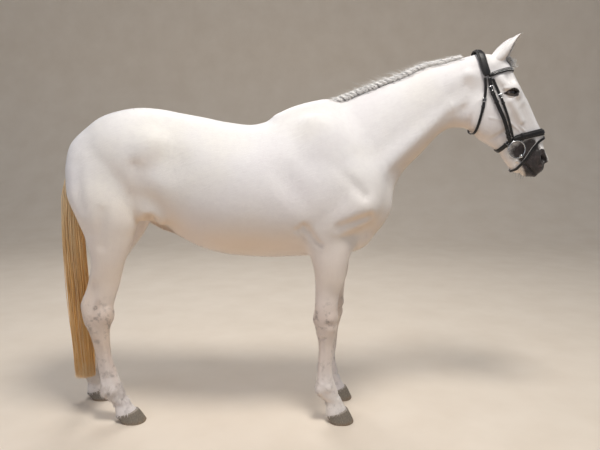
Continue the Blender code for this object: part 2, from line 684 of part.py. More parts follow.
def make_hoof(side, kind, ahead):
    """A hoof: a slanting wall from the coronet to a flat sole, longer at the toe than at the heel."""
    where = "right" if side < 0 else "left"
    fore = kind == "fore"
    shift = foot_shift(ahead)
    x, z, rise = FORE_CORONET if fore else HIND_CORONET
    toe, heel, half = (0.278, 0.152, 0.064) if fore else (-0.797, -0.925, 0.060)
    top_toe, top_heel, top_half = (0.246, 0.134, 0.051) if fore else (-0.836, -0.950, 0.049)
    out = side * (0.146 if fore else 0.143)
    rings = []
    for share in (0.0, 0.07, 0.5, 0.92, 1.0):
        lean = 0.0 if share < 0.05 else share
        front = toe + (top_toe - toe) * lean
        back = heel + (top_heel - heel) * lean
        wide = half + (top_half - half) * lean
        if share == 0.0:
            front, back, wide = front - 0.004, back + 0.003, wide - 0.003
        ring = []
        for k in range(16):
            angle = 2 * math.pi * k / 16
            c, s = math.cos(angle), math.sin(angle)
            reach = abs(c) ** (0.85 if c > 0 else 0.62)
            px = 0.5 * (front + back) + 0.5 * (front - back) * math.copysign(reach, c)
            py = out + wide * math.copysign(abs(s) ** 0.95, s) * (1.0 if c > 0 else 1 - 0.10 * abs(c))
            height = share * (z + rise * (px - x) - GAP / 2)
            ring.append((px + shift, py, height))
        rings.append(ring)
    return skinned(f"{kind}_hoof_{where}", rings)


EYE_RADIUS = 0.0205
EYE_PLACE = (0.180, 0.0815, 0.050)


def make_eye(side):
    where = "right" if side < 0 else "left"
    centre = on_head(EYE_PLACE[0], side * EYE_PLACE[1], EYE_PLACE[2])
    mesh = bpy.data.meshes.new("eye")
    builder = bmesh.new()
    bmesh.ops.create_icosphere(builder, subdivisions=2, radius=EYE_RADIUS)
    bmesh.ops.translate(builder, verts=builder.verts[:], vec=centre)
    builder.to_mesh(mesh)
    builder.free()
    eye = bpy.data.objects.new(f"eye_{where}", mesh)
    bpy.context.scene.collection.objects.link(eye)
    return eye


EAR_ROOT = (0.990, 0.052, 1.843)
EAR_TIP = (1.086, 0.062, 1.946)
# Share of the ear's length, radius of its cup there, and how much of a full turn the cup goes round.
EAR = (
    (-0.10, 0.0300, 0.86), (0.10, 0.0335, 0.80), (0.30, 0.0350, 0.70), (0.52, 0.0320, 0.62), (0.72, 0.0240, 0.56),
    (0.88, 0.0140, 0.50), (0.98, 0.0050, 0.46),
)
EAR_WALL = 0.0045


def make_ear(side):
    """A pricked ear: a cupped shell, open forwards and outwards."""
    where = "right" if side < 0 else "left"
    root = np.array([EAR_ROOT[0], side * EAR_ROOT[1], EAR_ROOT[2]])
    tip = np.array([EAR_TIP[0], side * EAR_TIP[1], EAR_TIP[2]])
    axis = tip - root
    length = float(np.linalg.norm(axis))
    axis /= length
    mouth = np.array([0.80, side * 0.36, -0.48])
    mouth -= axis * (mouth @ axis)
    mouth /= np.linalg.norm(mouth)
    cross = np.cross(axis, mouth)
    rings = []
    for share, radius, turn in EAR:
        centre = root + axis * length * share - mouth * 0.012 * share * share
        sweep = turn * math.pi
        outer = []
        inner = []
        wall = min(EAR_WALL, 0.55 * radius)
        for k in range(9):
            angle = math.pi + sweep * (2 * k / 8 - 1)
            way = mouth * math.cos(angle) * 0.85 + cross * math.sin(angle)
            outer.append(centre + way * radius)
            inner.append(centre + way * (radius - wall))
        rings.append(outer + inner[::-1])
    return skinned(f"ear_{where}", rings)


# Tail from the dock down: height, back edge, front edge, half width.
TAIL = {
    "dock": (1.420, -1.166, -1.090, 0.024),
    "top": (1.370, -1.193, -1.110, 0.032),
    "bend": (1.280, -1.218, -1.120, 0.040),
    "upper hair": (1.100, -1.226, -1.128, 0.048),
    "level of the stifle": (0.920, -1.232, -1.122, 0.055),
    "middle": (0.700, -1.227, -1.112, 0.060),
    "level of the hock": (0.500, -1.219, -1.106, 0.062),
    "low": (0.300, -1.208, -1.100, 0.060),
    "cut end": (0.186, -1.204, -1.098, 0.054),
}


def make_tail():
    heights = np.linspace(1.42, 0.186, 15)
    back, front, half = stations(TAIL, heights)
    rings = []
    for z, a, b, w in zip(heights, back, front, half):
        angles = [2 * math.pi * k / 12 for k in range(12)]
        rings.append([(0.5 * (a + b) + 0.5 * (b - a) * math.cos(t), w * math.sin(t), z) for t in angles])
    return skinned("tail", rings)


def crest_point(along):
    low, high, half = stations(NECK, np.array([along]))
    x, z = placed(along, float(high[0]), NECK_ROOT, NECK_RISE)
    return float(x), float(z)


PLAIT_KNOTS = 13


def make_plait():
    """The mane, worked into one plait that runs along the crest and thins towards the poll."""
    rings = []
    count = 2 * PLAIT_KNOTS + 1
    for i in range(count):
        share = i / (count - 1)
        along = 0.085 + share * 0.665
        x, z = crest_point(along)
        thick = 0.021 - 0.010 * share
        swell = 1.0 if i % 2 else 0.84
        if i in (0, count - 1):
            swell = 0.45
        ring = []
        for k in range(6):
            angle = 2 * math.pi * k / 6
            up = thick * swell * math.cos(angle) + 0.55 * thick
            ring.append((
                x - up * math.sin(NECK_RISE),
                -0.006 + 1.05 * thick * swell * math.sin(angle),
                z + up * math.cos(NECK_RISE),
            ))
        rings.append(ring)
    return skinned("mane_plait", rings)


def make_forelock():
    """A short tuft of hair between the ears, lying on the forehead."""
    rings = []
    for along, across, tall, wide in (
        (0.012, 0.112, 0.010, 0.014), (0.030, 0.127, 0.013, 0.022), (0.052, 0.135, 0.012, 0.024),
        (0.070, 0.135, 0.008, 0.015),
    ):
        ring = []
        for k in range(8):
            angle = 2 * math.pi * k / 8
            x, z = placed(along, across + tall * math.cos(angle), HEAD_ROOT, HEAD_DROP)
            ring.append((x, wide * math.sin(angle), z))
        rings.append(ring)
    return skinned("forelock", rings)


# ---------------------------------------------------------------- the bridle
def surface_out(x, z, form):
    """How far out from the middle plane the outermost surface lies, at places in the side view."""
    tries = np.linspace(0.0, 0.16, 81)
    shape = (len(x), len(tries))
    grid = (np.repeat(x, 81), np.tile(tries, len(x)), np.repeat(z, 81))
    inside = form(grid).reshape(shape) < 0
    last = np.where(inside.any(1), 80 - np.argmax(inside[:, ::-1], 1), -1)
    low = np.where(last >= 0, tries[last], 0.0)
    high = low + tries[1]
    for _ in range(14):
        middle = 0.5 * (low + high)
        within = form((x, middle, z)) < 0
        low = np.where(within, middle, low)
        high = np.where(within, high, middle)
    return np.where(last >= 0, low, 0.0)


def slope_of(form, points):
    """Unit directions straight out of the form."""
    step = 0.002
    grade = []
    for axis in range(3):
        ahead = points.copy()
        behind = points.copy()
        ahead[:, axis] += step
        behind[:, axis] -= step
        grade.append(form(tuple(ahead.T)) - form(tuple(behind.T)))
    grade = np.stack(grade, 1)
    return grade / np.linalg.norm(grade, axis=1)[:, None]


def along_path(path, shares):
    """Places at shares of the length of a path of side-view points."""
    path = np.array(path)
    length = np.concatenate([[0], np.cumsum(np.linalg.norm(np.diff(path, axis=0), axis=1))])
    length /= length[-1]
    return through(length, path[:, 0], shares), through(length, path[:, 1], shares)


def strap_line(path, steps, start_middle, end_middle, side):
    """Points on the head under one strap, on one side; ends on the middle plane are rounded off evenly."""
    fine = np.linspace(0, 1, 161)
    on_it = np.flatnonzero(surface_out(*along_path(path, fine), flesh) > 0.002)
    first = fine[on_it[0]] if start_middle else 0.0
    last = fine[on_it[-1]] if end_middle else 1.0
    angle = np.linspace(0, math.pi, steps)
    if start_middle and end_middle:
        shares = 0.5 - 0.5 * np.cos(angle)
    elif start_middle:
        shares = 1 - np.cos(0.5 * angle)
    elif end_middle:
        shares = np.sin(0.5 * angle)
    else:
        shares = np.linspace(0, 1, steps)
    x, z = along_path(path, first + (last - first) * shares)
    y = surface_out(x, z, flesh)
    if start_middle:
        y[0] = 0.0
    if end_middle:
        y[-1] = 0.0
    line = np.stack([x, side * y, z], 1)
    for _ in range(4):
        depth = np.minimum(flesh(tuple(line.T)), 0)
        line -= slope_of(flesh, line) * depth[:, None]
    return line


def strap(name, path, width, thick, steps=12, ends=(False, False), side=0, lift=(0.0015, 0.0015)):
    """A flat leather strap over the head. With side 0 it goes over the middle plane and down both sides."""
    if side:
        line = strap_line(path, steps, *ends, side)
        lifts = np.linspace(lift[0], lift[1], len(line))
        closed = False
    else:
        right = strap_line(path, steps, *ends, -1)
        left = right[::-1] * [1, -1, 1]
        rise = np.linspace(lift[0], lift[1], len(right))
        if ends[0] and ends[1]:
            line = np.concatenate([right, left[1:-1]])
            lifts = np.concatenate([rise, rise[::-1][1:-1]])
            closed = True
        elif ends[0]:
            line = np.concatenate([left, right[1:]])
            lifts = np.concatenate([rise[::-1], rise[1:]])
            closed = False
        else:
            line = np.concatenate([right, left[1:]])
            lifts = np.concatenate([rise, rise[::-1][1:]])
            closed = False
    if closed:
        onward = np.roll(line, -1, 0) - np.roll(line, 1, 0)
    else:
        onward = np.gradient(line, axis=0)
    onward /= np.linalg.norm(onward, axis=1)[:, None]
    up = slope_of(flesh, line)
    if closed:
        up = up + 0.5 * (np.roll(up, 1, 0) + np.roll(up, -1, 0))
    up -= onward * (up * onward).sum(1)[:, None]
    up /= np.linalg.norm(up, axis=1)[:, None]
    across = np.cross(onward, up)
    rings = []
    for point, out, wide, rise in zip(line, up, across, lifts):
        inner = point + out * rise
        outer = point + out * (rise + thick)
        half = wide * width / 2
        rings.append([inner - half, inner + half, outer + half, outer - half])
    return skinned(name, rings, closed)


HEADPIECE = ((0.884, 1.872), (0.891, 1.838), (0.901, 1.792), (0.915, 1.750))
BROWBAND = ((1.052, 1.784), (1.022, 1.782), (0.985, 1.773), (0.948, 1.760))
CHEEKPIECE = (
    (0.924, 1.742), (0.933, 1.691), (0.951, 1.645), (0.973, 1.597), (1.000, 1.545), (1.021, 1.498), (1.044, 1.446),
)
THROATLASH = ((0.902, 1.742), (0.907, 1.680), (0.902, 1.625), (0.894, 1.575), (0.882, 1.515), (0.868, 1.452))
NOSEBAND = ((1.227, 1.480), (1.196, 1.476), (1.147, 1.465), (1.098, 1.453), (1.066, 1.442))
CHIN_STRAP = ((1.054, 1.434), (1.029, 1.410), (1.007, 1.388), (0.992, 1.372))
FLASH = ((1.232, 1.452), (1.206, 1.437), (1.168, 1.395), (1.137, 1.345), (1.098, 1.296))
BIT_CENTRE = (1.084, 0.064, 1.392)
BIT_RADIUS = 0.043


def make_ring(side):
    """The loose ring of the bit, lying against the cheek at the corner of the mouth."""
    rings = []
    tilt = side * 0.12
    for i in range(14):
        angle = 2 * math.pi * i / 14
        out = np.array([math.cos(angle), 0.0, math.sin(angle)])
        out[1] = -tilt * math.cos(angle + 0.6)
        ring = []
        for k in range(5):
            around = 2 * math.pi * k / 5
            centre = np.array([BIT_CENTRE[0], side * BIT_CENTRE[1], BIT_CENTRE[2]])
            point = centre + out * (BIT_RADIUS + 0.0035 * math.cos(around))
            point[1] += 0.0035 * math.sin(around)
            ring.append(tuple(point))
        rings.append(ring)
    return skinned("bit_ring_" + ("right" if side < 0 else "left"), rings, True)


def make_bridle():
    straps = [
        strap("headpiece", HEADPIECE, 0.038, 0.008, 9, (True, False)),
        strap("browband", BROWBAND, 0.021, 0.006, 8, (True, False)),
        strap("noseband", NOSEBAND, 0.034, 0.009, 9, (True, False)),
        strap("chin_strap", CHIN_STRAP, 0.022, 0.005, 7, (False, True)),
        strap("throatlash", THROATLASH, 0.013, 0.005, 11, (False, True)),
        strap("flash_strap", FLASH, 0.014, 0.005, 9, (True, True)),
    ]
    for side in (-1, 1):
        where = "right" if side < 0 else "left"
        name = f"cheekpiece_{where}"
        straps.append(strap(name, CHEEKPIECE, 0.019, 0.005, 12, (False, False), side, (0.0015, 0.012)))
    return straps + [make_ring(-1), make_ring(1)]


# ---------------------------------------------------------------- colours
def material(name, colour, roughness, metallic=0.0):
    made = bpy.data.materials.new(name)
    made.use_nodes = True
    shader = made.node_tree.nodes["Principled BSDF"]
    shader.inputs["Base Color"].default_value = (*colour, 1.0)
    shader.inputs["Roughness"].default_value = roughness
    shader.inputs["Metallic"].default_value = metallic
    return made


def paint(objects, finish):
    for made in objects:
        made.data.materials.clear()
        made.data.materials.append(finish)


def smooth(made):
    for face in made.data.polygons:
        face.use_smooth = True


def centre_on_origin(objects):
    """Moves every part so that the middle of the whole box stands over the origin."""
    spans = []
    for axis in (0, 1):
        places = [vertex.co[axis] for made in objects for vertex in made.data.vertices]
        spans.append(0.5 * (min(places) + max(places)))
    for made in objects:
        for vertex in made.data.vertices:
            vertex.co.x -= spans[0]
            vertex.co.y -= spans[1]


def build():
    trunk = make_trunk()
    neck = make_neck()
    head = make_head()
    legs = []
    hooves = []
    for side, fore_ahead, hind_ahead in ((-1, None, None), (1, LEFT_FORE_AHEAD, LEFT_HIND_AHEAD)):
        legs += make_leg(side, "fore", fore_ahead) + make_leg(side, "hind", hind_ahead)
        hooves += [make_hoof(side, "fore", fore_ahead), make_hoof(side, "hind", hind_ahead)]
    eyes = [make_eye(-1), make_eye(1)]
    cleared_of(head, eyes, GAP)
    ears = [cleared_of(make_ear(side), [head, neck]) for side in (-1, 1)]
    thighs = [leg for leg in legs if leg.name.startswith("gaskin")]
    tail = cleared_of(make_tail(), [trunk] + thighs)
    plait = cleared_of(make_plait(), [neck, trunk, head])
    forelock = cleared_of(make_forelock(), [head] + ears)
    bridle = make_bridle()
    for piece in bridle:
        cleared_of(piece, [head])
    cleared_of(bridle[0], [neck, plait] + ears)
    cleared_of(bridle[1], [forelock])
    paint([trunk, neck, head] + legs + ears, material("white coat", (0.72, 0.70, 0.68), 0.75))
    paint(hooves, material("grey horn", (0.17, 0.14, 0.11), 0.55))
    paint(eyes, material("dark eye", (0.01, 0.007, 0.005), 0.08))
    paint([tail], material("yellow tail hair", (0.55, 0.40, 0.20), 0.7))
    paint([plait, forelock], material("white mane hair", (0.70, 0.67, 0.60), 0.75))
    paint(bridle[:-2], material("black leather", (0.012, 0.011, 0.010), 0.42))
    paint(bridle[-2:], material("bright steel", (0.60, 0.60, 0.58), 0.22, 1.0))
    for made in [trunk, neck, head, tail] + legs + ears + eyes:
        smooth(made)
    centre_on_origin(list(bpy.context.scene.objects))


for old in list(bpy.data.objects):
    bpy.data.objects.remove(old, do_unlink=True)
build()
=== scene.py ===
"""A life-size standing horse in a black bridle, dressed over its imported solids.

Metres, +Z up. The horse looks along +X and its left side is +Y.
The file follows the horse as it is put together: skin, coat, eyes, hooves, tail, plait, forelock, bridle.
"""

import math

import bmesh
import bpy
import numpy as np
from mathutils import Matrix, Vector


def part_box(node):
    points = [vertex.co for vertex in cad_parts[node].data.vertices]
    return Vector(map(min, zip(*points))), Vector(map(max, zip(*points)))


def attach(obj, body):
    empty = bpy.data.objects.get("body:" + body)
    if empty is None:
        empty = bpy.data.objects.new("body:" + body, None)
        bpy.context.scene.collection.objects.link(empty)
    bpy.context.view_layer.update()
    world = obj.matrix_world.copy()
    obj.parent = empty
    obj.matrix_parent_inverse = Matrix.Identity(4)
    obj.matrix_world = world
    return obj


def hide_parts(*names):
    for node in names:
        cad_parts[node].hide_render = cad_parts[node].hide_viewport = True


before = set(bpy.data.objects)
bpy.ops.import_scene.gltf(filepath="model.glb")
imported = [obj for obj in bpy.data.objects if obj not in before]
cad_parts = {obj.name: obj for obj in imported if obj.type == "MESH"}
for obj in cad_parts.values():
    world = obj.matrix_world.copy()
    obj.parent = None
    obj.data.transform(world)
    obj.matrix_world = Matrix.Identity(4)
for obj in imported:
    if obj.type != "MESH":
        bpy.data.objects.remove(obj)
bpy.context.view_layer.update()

# ---------------------------------------------------------------- floor, light and camera
# The room the model is shown in: a pale matt floor that runs up into a pale wall a long way behind,
# lit as in a studio, with a large lamp high on the viewer's side, a fill and a rim.


def linear(code):
    """The linear colour of an sRGB hex code."""
    levels = [int(code[i : i + 2], 16) / 255 for i in (1, 3, 5)]
    return tuple(v / 12.92 if v <= 0.04045 else ((v + 0.055) / 1.055) ** 2.4 for v in levels) + (1.0,)


def add(tree, kind, settings=None, inputs=(), output=0):
    """Adds a node and gives one of its outputs, or the node itself for None.

    Inputs are given by name, by number or in order. A socket is linked and a value set; a hex code stands for its
    colour, and the stops of a colour ramp are (place, hex code).
    """
    node = tree.nodes.new(kind)
    for key, value in (settings or {}).items():
        if key == "stops":
            band = node.color_ramp.elements
            while len(band) < len(value):
                band.new(0.5)
            for element, (place, code) in zip(band, value):
                element.position, element.color = place, linear(code)
        else:
            setattr(node, key, value)
    for key, value in inputs.items() if isinstance(inputs, dict) else enumerate(inputs):
        if isinstance(value, bpy.types.NodeSocket):
            tree.links.new(value, node.inputs[key])
        else:
            node.inputs[key].default_value = linear(value) if isinstance(value, str) and value[0] == "#" else value
    return node if output is None else node.outputs[output]


def finish(name, roughness, **sockets):
    """A new material and its shader; constants go straight on the shader's own sockets."""
    made = bpy.data.materials.new(name)
    made.use_nodes = True
    shader = made.node_tree.nodes["Principled BSDF"]
    shader.inputs["Roughness"].default_value = roughness
    for key, value in sockets.items():
        shader.inputs[key.replace("_", " ")].default_value = value
    return made, made.node_tree, shader


def bump(tree, shader, layers, normal=None):
    """Height layers, each (socket, depth in metres), put one on another into the shader's normal."""
    for height, depth in layers:
        inputs = {"Height": height, "Distance": depth, "Strength": 1.0}
        if normal:
            inputs["Normal"] = normal
        normal = add(tree, "ShaderNodeBump", inputs=inputs)
    tree.links.new(normal, shader.inputs["Normal"])


def link_object(name, mesh):
    made = bpy.data.objects.new(name, mesh)
    bpy.context.scene.collection.objects.link(made)
    return made


def add_floor():
    """A floor with a swept-up back, of painted plaster."""
    profile = [(-9.0, 0.0), (5.0, 0.0)]
    profile += [(5.0 + 3.0 * math.sin(t), 3.0 - 3.0 * math.cos(t)) for t in np.linspace(0.1, math.pi / 2, 14)]
    profile.append((8.0, 9.0))
    points = [(x, y, z) for x in (-11.0, 11.0) for y, z in profile]
    count = len(profile)
    faces = [(i, i + count, i + count + 1, i + 1) for i in range(count - 1)]
    mesh = bpy.data.meshes.new("studio_floor")
    mesh.from_pydata(points, [], faces)
    mesh.shade_smooth()
    floor = link_object("studio_floor", mesh)
    made, tree, shader = finish("pale studio floor", 0.85)
    place = add(tree, "ShaderNodeTexCoord", output="Object")
    tree.links.new(
        add(
            tree, "ShaderNodeValToRGB", {"stops": [(0.3, "#e0d3c3"), (0.7, "#e6dacb")]},
            (
                add(
                    tree, "ShaderNodeTexNoise", {},
                    {"Vector": place, "Scale": 3.0, "Detail": 3.0, "Roughness": 0.55}
                ),
            )
        ),
        shader.inputs["Base Color"]
    )
    mesh.materials.append(made)


add_floor()


def add_lamp(name, where, aim, size, power, colour="#ffffff"):
    lamp = bpy.data.lights.new(name, "AREA")
    lamp.shape = "DISK"
    lamp.size = size
    lamp.energy = power
    lamp.color = linear(colour)[:3]
    made = link_object(name, lamp)
    way = Vector(aim) - Vector(where)
    made.matrix_world = Matrix.Translation(where) @ way.to_track_quat("-Z", "Y").to_matrix().to_4x4()


add_lamp("key_lamp", (0.7, -1.7, 5.4), (-0.05, 0.0, 1.1), 1.5, 185, "#fffaf2")
add_lamp("fill_lamp", (-3.4, -3.4, 2.6), (-0.2, 0.0, 0.9), 3.5, 26, "#f4f2ff")
add_lamp("rim_lamp", (-1.0, 3.4, 4.6), (0.0, 0.0, 1.2), 2.2, 80, "#ffffff")

sky = bpy.data.worlds.new("studio_air")
sky.use_nodes = True
sky.node_tree.nodes["Background"].inputs["Color"].default_value = linear("#e3e8f0")
sky.node_tree.nodes["Background"].inputs["Strength"].default_value = 0.36
bpy.context.scene.world = sky
bpy.context.scene.view_settings.view_transform = "Standard"

# A viewer of ordinary height stands three metres from the horse's middle and looks a little down.
camera_data = bpy.data.cameras.new("viewer")
camera_data.lens = 36.0
camera_data.sensor_width = 36.0
camera = link_object("viewer", camera_data)
camera.location = (-0.0091, -3.0867, 1.4332)
camera.rotation_euler = (math.radians(90 - 7.938), 0, 0)
bpy.context.scene.camera = camera

# ---------------------------------------------------------------- the horse's form
# A grown sport horse, 1.62 m at the withers: a deep trunk, a plaited neck held at thirty degrees, a long head.
# The form is a signed distance in metres, swept through named sections and joined to named muscles and bones;
# it is the same form that the solids were made from, in the builder's own frame.
# Trunk sections along X: under line, top line, half width, height of the widest point, roundness above it.
TRUNK = {
    "tail head": (-1.130, 1.080, 1.425, 0.110, 1.28, 2.0),
    "buttock": (-1.050, 1.020, 1.520, 0.195, 1.29, 2.0),
    "hip joint": (-0.940, 1.010, 1.576, 0.240, 1.29, 2.0),
    "croup": (-0.800, 1.030, 1.604, 0.258, 1.30, 2.0),
    "hip bone": (-0.700, 1.010, 1.596, 0.258, 1.29, 2.2),
    "flank": (-0.610, 0.943, 1.579, 0.262, 1.25, 2.2),
    "loin": (-0.500, 0.887, 1.559, 0.280, 1.21, 2.2),
    "last rib": (-0.360, 0.851, 1.531, 0.298, 1.18, 2.1),
    "back": (-0.250, 0.842, 1.519, 0.303, 1.17, 2.0),
    "saddle": (-0.150, 0.838, 1.540, 0.298, 1.16, 1.8),
    "girth": (-0.040, 0.842, 1.600, 0.282, 1.15, 1.6),
    "withers": (0.050, 0.845, 1.625, 0.262, 1.15, 1.55),
    "front of withers": (0.150, 0.858, 1.632, 0.240, 1.15, 1.6),
    "chest": (0.260, 0.885, 1.560, 0.215, 1.15, 1.8),
    "breast": (0.370, 0.945, 1.430, 0.170, 1.15, 2.0),
    "breast point": (0.440, 1.020, 1.300, 0.110, 1.16, 2.0),
}

# Neck sections along its own axis: under line, crest, half width.
NECK_ROOT = (0.20, 1.40)
NECK_RISE = math.radians(30)
NECK = {
    "inside the chest": (0.000, -0.350, 0.225, 0.165),
    "base": (0.130, -0.322, 0.196, 0.146),
    "low neck": (0.230, -0.268, 0.183, 0.122),
    "middle": (0.350, -0.234, 0.163, 0.103),
    "upper neck": (0.450, -0.202, 0.148, 0.092),
    "throatlatch": (0.560, -0.168, 0.138, 0.082),
    "behind the poll": (0.650, -0.155, 0.111, 0.076),
    "poll": (0.800, -0.120, 0.068, 0.066),
}

# Head sections from the poll down its own axis: jaw line, face line, half width, level of the widest point.
HEAD_ROOT = (0.90, 1.80)
HEAD_DROP = math.radians(-60)
HEAD = {
    "poll": (-0.060, -0.120, 0.040, 0.048, 0.00),
    "between the ears": (0.000, -0.150, 0.100, 0.066, 0.03),
    "forehead": (0.060, -0.172, 0.128, 0.082, 0.05),
    "temples": (0.120, -0.188, 0.124, 0.090, 0.05),
    "eyes": (0.180, -0.196, 0.123, 0.093, 0.05),
    "cheeks": (0.250, -0.192, 0.124, 0.087, 0.04),
    "end of the crest": (0.310, -0.184, 0.123, 0.073, 0.03),
    "middle of the face": (0.370, -0.145, 0.121, 0.060, 0.02),
    "bars": (0.430, -0.114, 0.122, 0.051, 0.01),
    "above the nostrils": (0.490, -0.106, 0.103, 0.050, 0.00),
    "nostrils": (0.545, -0.084, 0.084, 0.052, 0.00),
    "upper lip": (0.590, -0.045, 0.050, 0.044, 0.00),
    "lips": (0.622, -0.026, 0.000, 0.026, -0.01),
}

# Right fore leg, from the elbow down: height, back, front, half width, distance out from the middle plane.
FORE_LEG = {
    "elbow": (0.960, 0.010, 0.270, 0.075, 0.150),
    "top of the forearm": (0.860, 0.050, 0.250, 0.071, 0.152),
    "forearm": (0.760, 0.072, 0.213, 0.060, 0.150),
    "low forearm": (0.655, 0.076, 0.196, 0.046, 0.147),
    "top of the knee": (0.600, 0.073, 0.191, 0.050, 0.146),
    "knee": (0.540, 0.071, 0.189, 0.053, 0.146),
    "below the knee": (0.480, 0.081, 0.183, 0.044, 0.146),
    "cannon": (0.400, 0.095, 0.168, 0.029, 0.146),
    "low cannon": (0.270, 0.087, 0.166, 0.027, 0.146),
    "fetlock": (0.180, 0.080, 0.189, 0.037, 0.146),
    "under the fetlock": (0.135, 0.103, 0.206, 0.034, 0.146),
    "pastern": (0.105, 0.130, 0.219, 0.030, 0.146),
    "coronet": (0.050, 0.132, 0.250, 0.046, 0.146),
}

# Right hind leg, from the croup down.
HIND_LEG = {
    "side of the croup": (1.400, -1.110, -0.900, 0.090, 0.120),
    "hip": (1.290, -1.147, -0.823, 0.120, 0.134),
    "thigh": (1.190, -1.141, -0.797, 0.124, 0.149),
    "stifle": (1.060, -1.093, -0.795, 0.104, 0.166),
    "top of the gaskin": (0.960, -1.058, -0.820, 0.083, 0.163),
    "gaskin": (0.850, -1.039, -0.864, 0.066, 0.157),
    "low gaskin": (0.720, -1.066, -0.903, 0.047, 0.146),
    "point of the hock": (0.610, -1.105, -0.941, 0.044, 0.138),
    "hock": (0.550, -1.099, -0.951, 0.052, 0.136),
    "top of the cannon": (0.455, -1.067, -0.970, 0.038, 0.135),
    "cannon": (0.360, -1.046, -0.966, 0.028, 0.135),
    "low cannon": (0.250, -1.031, -0.937, 0.029, 0.135),
    "fetlock": (0.165, -1.023, -0.911, 0.039, 0.137),
    "under the fetlock": (0.130, -1.000, -0.895, 0.036, 0.138),
    "pastern": (0.100, -0.966, -0.878, 0.031, 0.140),
    "coronet": (0.045, -0.953, -0.834, 0.046, 0.143),
}

# How far the left legs stand ahead of the right ones, by height: the left hind is set back.
LEFT_FORE_AHEAD = (
    (0.0, 0.016), (0.1, 0.012), (0.2, 0.022), (0.3, 0.038), (0.45, 0.048), (0.7, 0.052), (0.9, 0.030), (1.05, 0.0)
)
LEFT_HIND_AHEAD = (
    (0.0, -0.250), (0.06, -0.245), (0.13, -0.212), (0.2, -0.195), (0.4, -0.150), (0.6, -0.105),
    (0.8, -0.070), (0.9, -0.033), (1.0, -0.008), (1.1, 0.0),
)


def through(places, values, at):
    """A smooth curve through the stations that never overshoots them."""
    x = np.asarray(places, float)
    y = np.asarray(values, float)
    step = np.diff(x)
    slope = np.diff(y) / step
    tangent = np.zeros_like(y)
    same = slope[1:] * slope[:-1] > 0
    weight = step[1:] + step[:-1]
    harmonic = 3 * weight / (
        (weight + step[1:]) / np.where(same, slope[:-1], 1) + (weight + step[:-1]) / np.where(same, slope[1:], 1)
    )
    tangent[1:-1] = np.where(same, harmonic, 0)
    tangent[0] = slope[0]
    tangent[-1] = slope[-1]
    at = np.clip(at, x[0], x[-1])
    cell = np.clip(np.searchsorted(x, at) - 1, 0, len(step) - 1)
    h = step[cell]
    t = (at - x[cell]) / h
    return (
        y[cell] * (2 * t**3 - 3 * t**2 + 1)
        + tangent[cell] * h * (t**3 - 2 * t**2 + t)
        + y[cell + 1] * (3 * t**2 - 2 * t**3)
        + tangent[cell + 1] * h * (t**3 - t**2)
    )


def stations(table, at):
    """Every column of a table of named stations, at the places asked for."""
    rows = sorted(table.values())
    places = [row[0] for row in rows]
    fine = np.linspace(places[0], places[-1], 600)
    at = np.clip(at, places[0], places[-1])
    return [np.interp(at, fine, through(places, column, fine)) for column in list(zip(*rows))[1:]]


def join(first, second, blend):
    """The union of two forms, with a fillet about as wide as blend."""
    mix = np.clip(0.5 + 0.5 * (second - first) / blend, 0, 1)
    return second + (first - second) * mix - blend * mix * (1 - mix)


def carve(form, tool, blend):
    return -join(-form, tool, blend)


def section(across, along, half, low, high, widest, round_low, round_high):
    """Distance from an oval section: half wide, from low to high, widest at one level."""
    offset = along - widest
    reach = np.where(offset > 0, high - widest, widest - low)
    power = np.where(offset > 0, round_high, round_low)
    ratio = (np.abs(across / half) ** power + np.abs(offset / reach) ** power) ** (1 / power) + 1e-9
    return np.hypot(across, offset) * (1 - 1 / ratio) - 1e-9


def ball(p, centre, radii, tilt=0.0, mirrored=True):
    """Distance from an ellipsoid tilted in the side plane; a mirrored one stands on both sides."""
    x, y, z = p
    dx = x - centre[0]
    dy = (np.abs(y) if mirrored else y) - centre[1]
    dz = z - centre[2]
    c = math.cos(math.radians(tilt))
    s = math.sin(math.radians(tilt))
    u = (dx * c + dz * s) / radii[0]
    v = dy / radii[1]
    w = (dz * c - dx * s) / radii[2]
    size = np.sqrt(u * u + v * v + w * w) + 1e-9
    grade = np.sqrt((u / radii[0]) ** 2 + (v / radii[1]) ** 2 + (w / radii[2]) ** 2) + 1e-9
    return size * (size - 1) / grade


def cord(p, start, end, first, last=None, mirrored=True):
    """Distance from a rounded cone between two points."""
    last = first if last is None else last
    x, y, z = p
    y = np.abs(y) if mirrored else y
    way = [b - a for a, b in zip(start, end)]
    length = sum(w * w for w in way)
    t = ((x - start[0]) * way[0] + (y - start[1]) * way[1] + (z - start[2]) * way[2]) / length
    t = np.clip(t, 0, 1)
    gap = (x - start[0] - t * way[0]) ** 2 + (y - start[1] - t * way[1]) ** 2 + (z - start[2] - t * way[2]) ** 2
    return np.sqrt(gap) - (first + (last - first) * t)


def shaped(form, p, steps):
    """Joins balls and cords to a form in turn, each as wide a fillet as its blend; a negative blend cuts one away."""
    for blend, tool, *shape in steps:
        made = tool(p, *shape)
        form = join(form, made, blend) if blend > 0 else carve(form, made, -blend)
    return form


def turned(x, z, root, angle):
    """Side-plane coordinates along and across an axis that starts at root."""
    c = math.cos(angle)
    s = math.sin(angle)
    return (x - root[0]) * c + (z - root[1]) * s, (z - root[1]) * c - (x - root[0]) * s


def placed(along, across, root, angle):
    """The inverse of turned."""
    c = math.cos(angle)
    s = math.sin(angle)
    return root[0] + along * c - across * s, root[1] + along * s + across * c


def trunk_form(p):
    x, y, z = p
    low, high, half, widest, roundness = stations(TRUNK, x)
    form = section(y, z, half, low, high, widest, 2.1, roundness)
    form = carve(form, x + 1.150, 0.06)
    form = carve(form, 0.455 - x, 0.06)
    return form


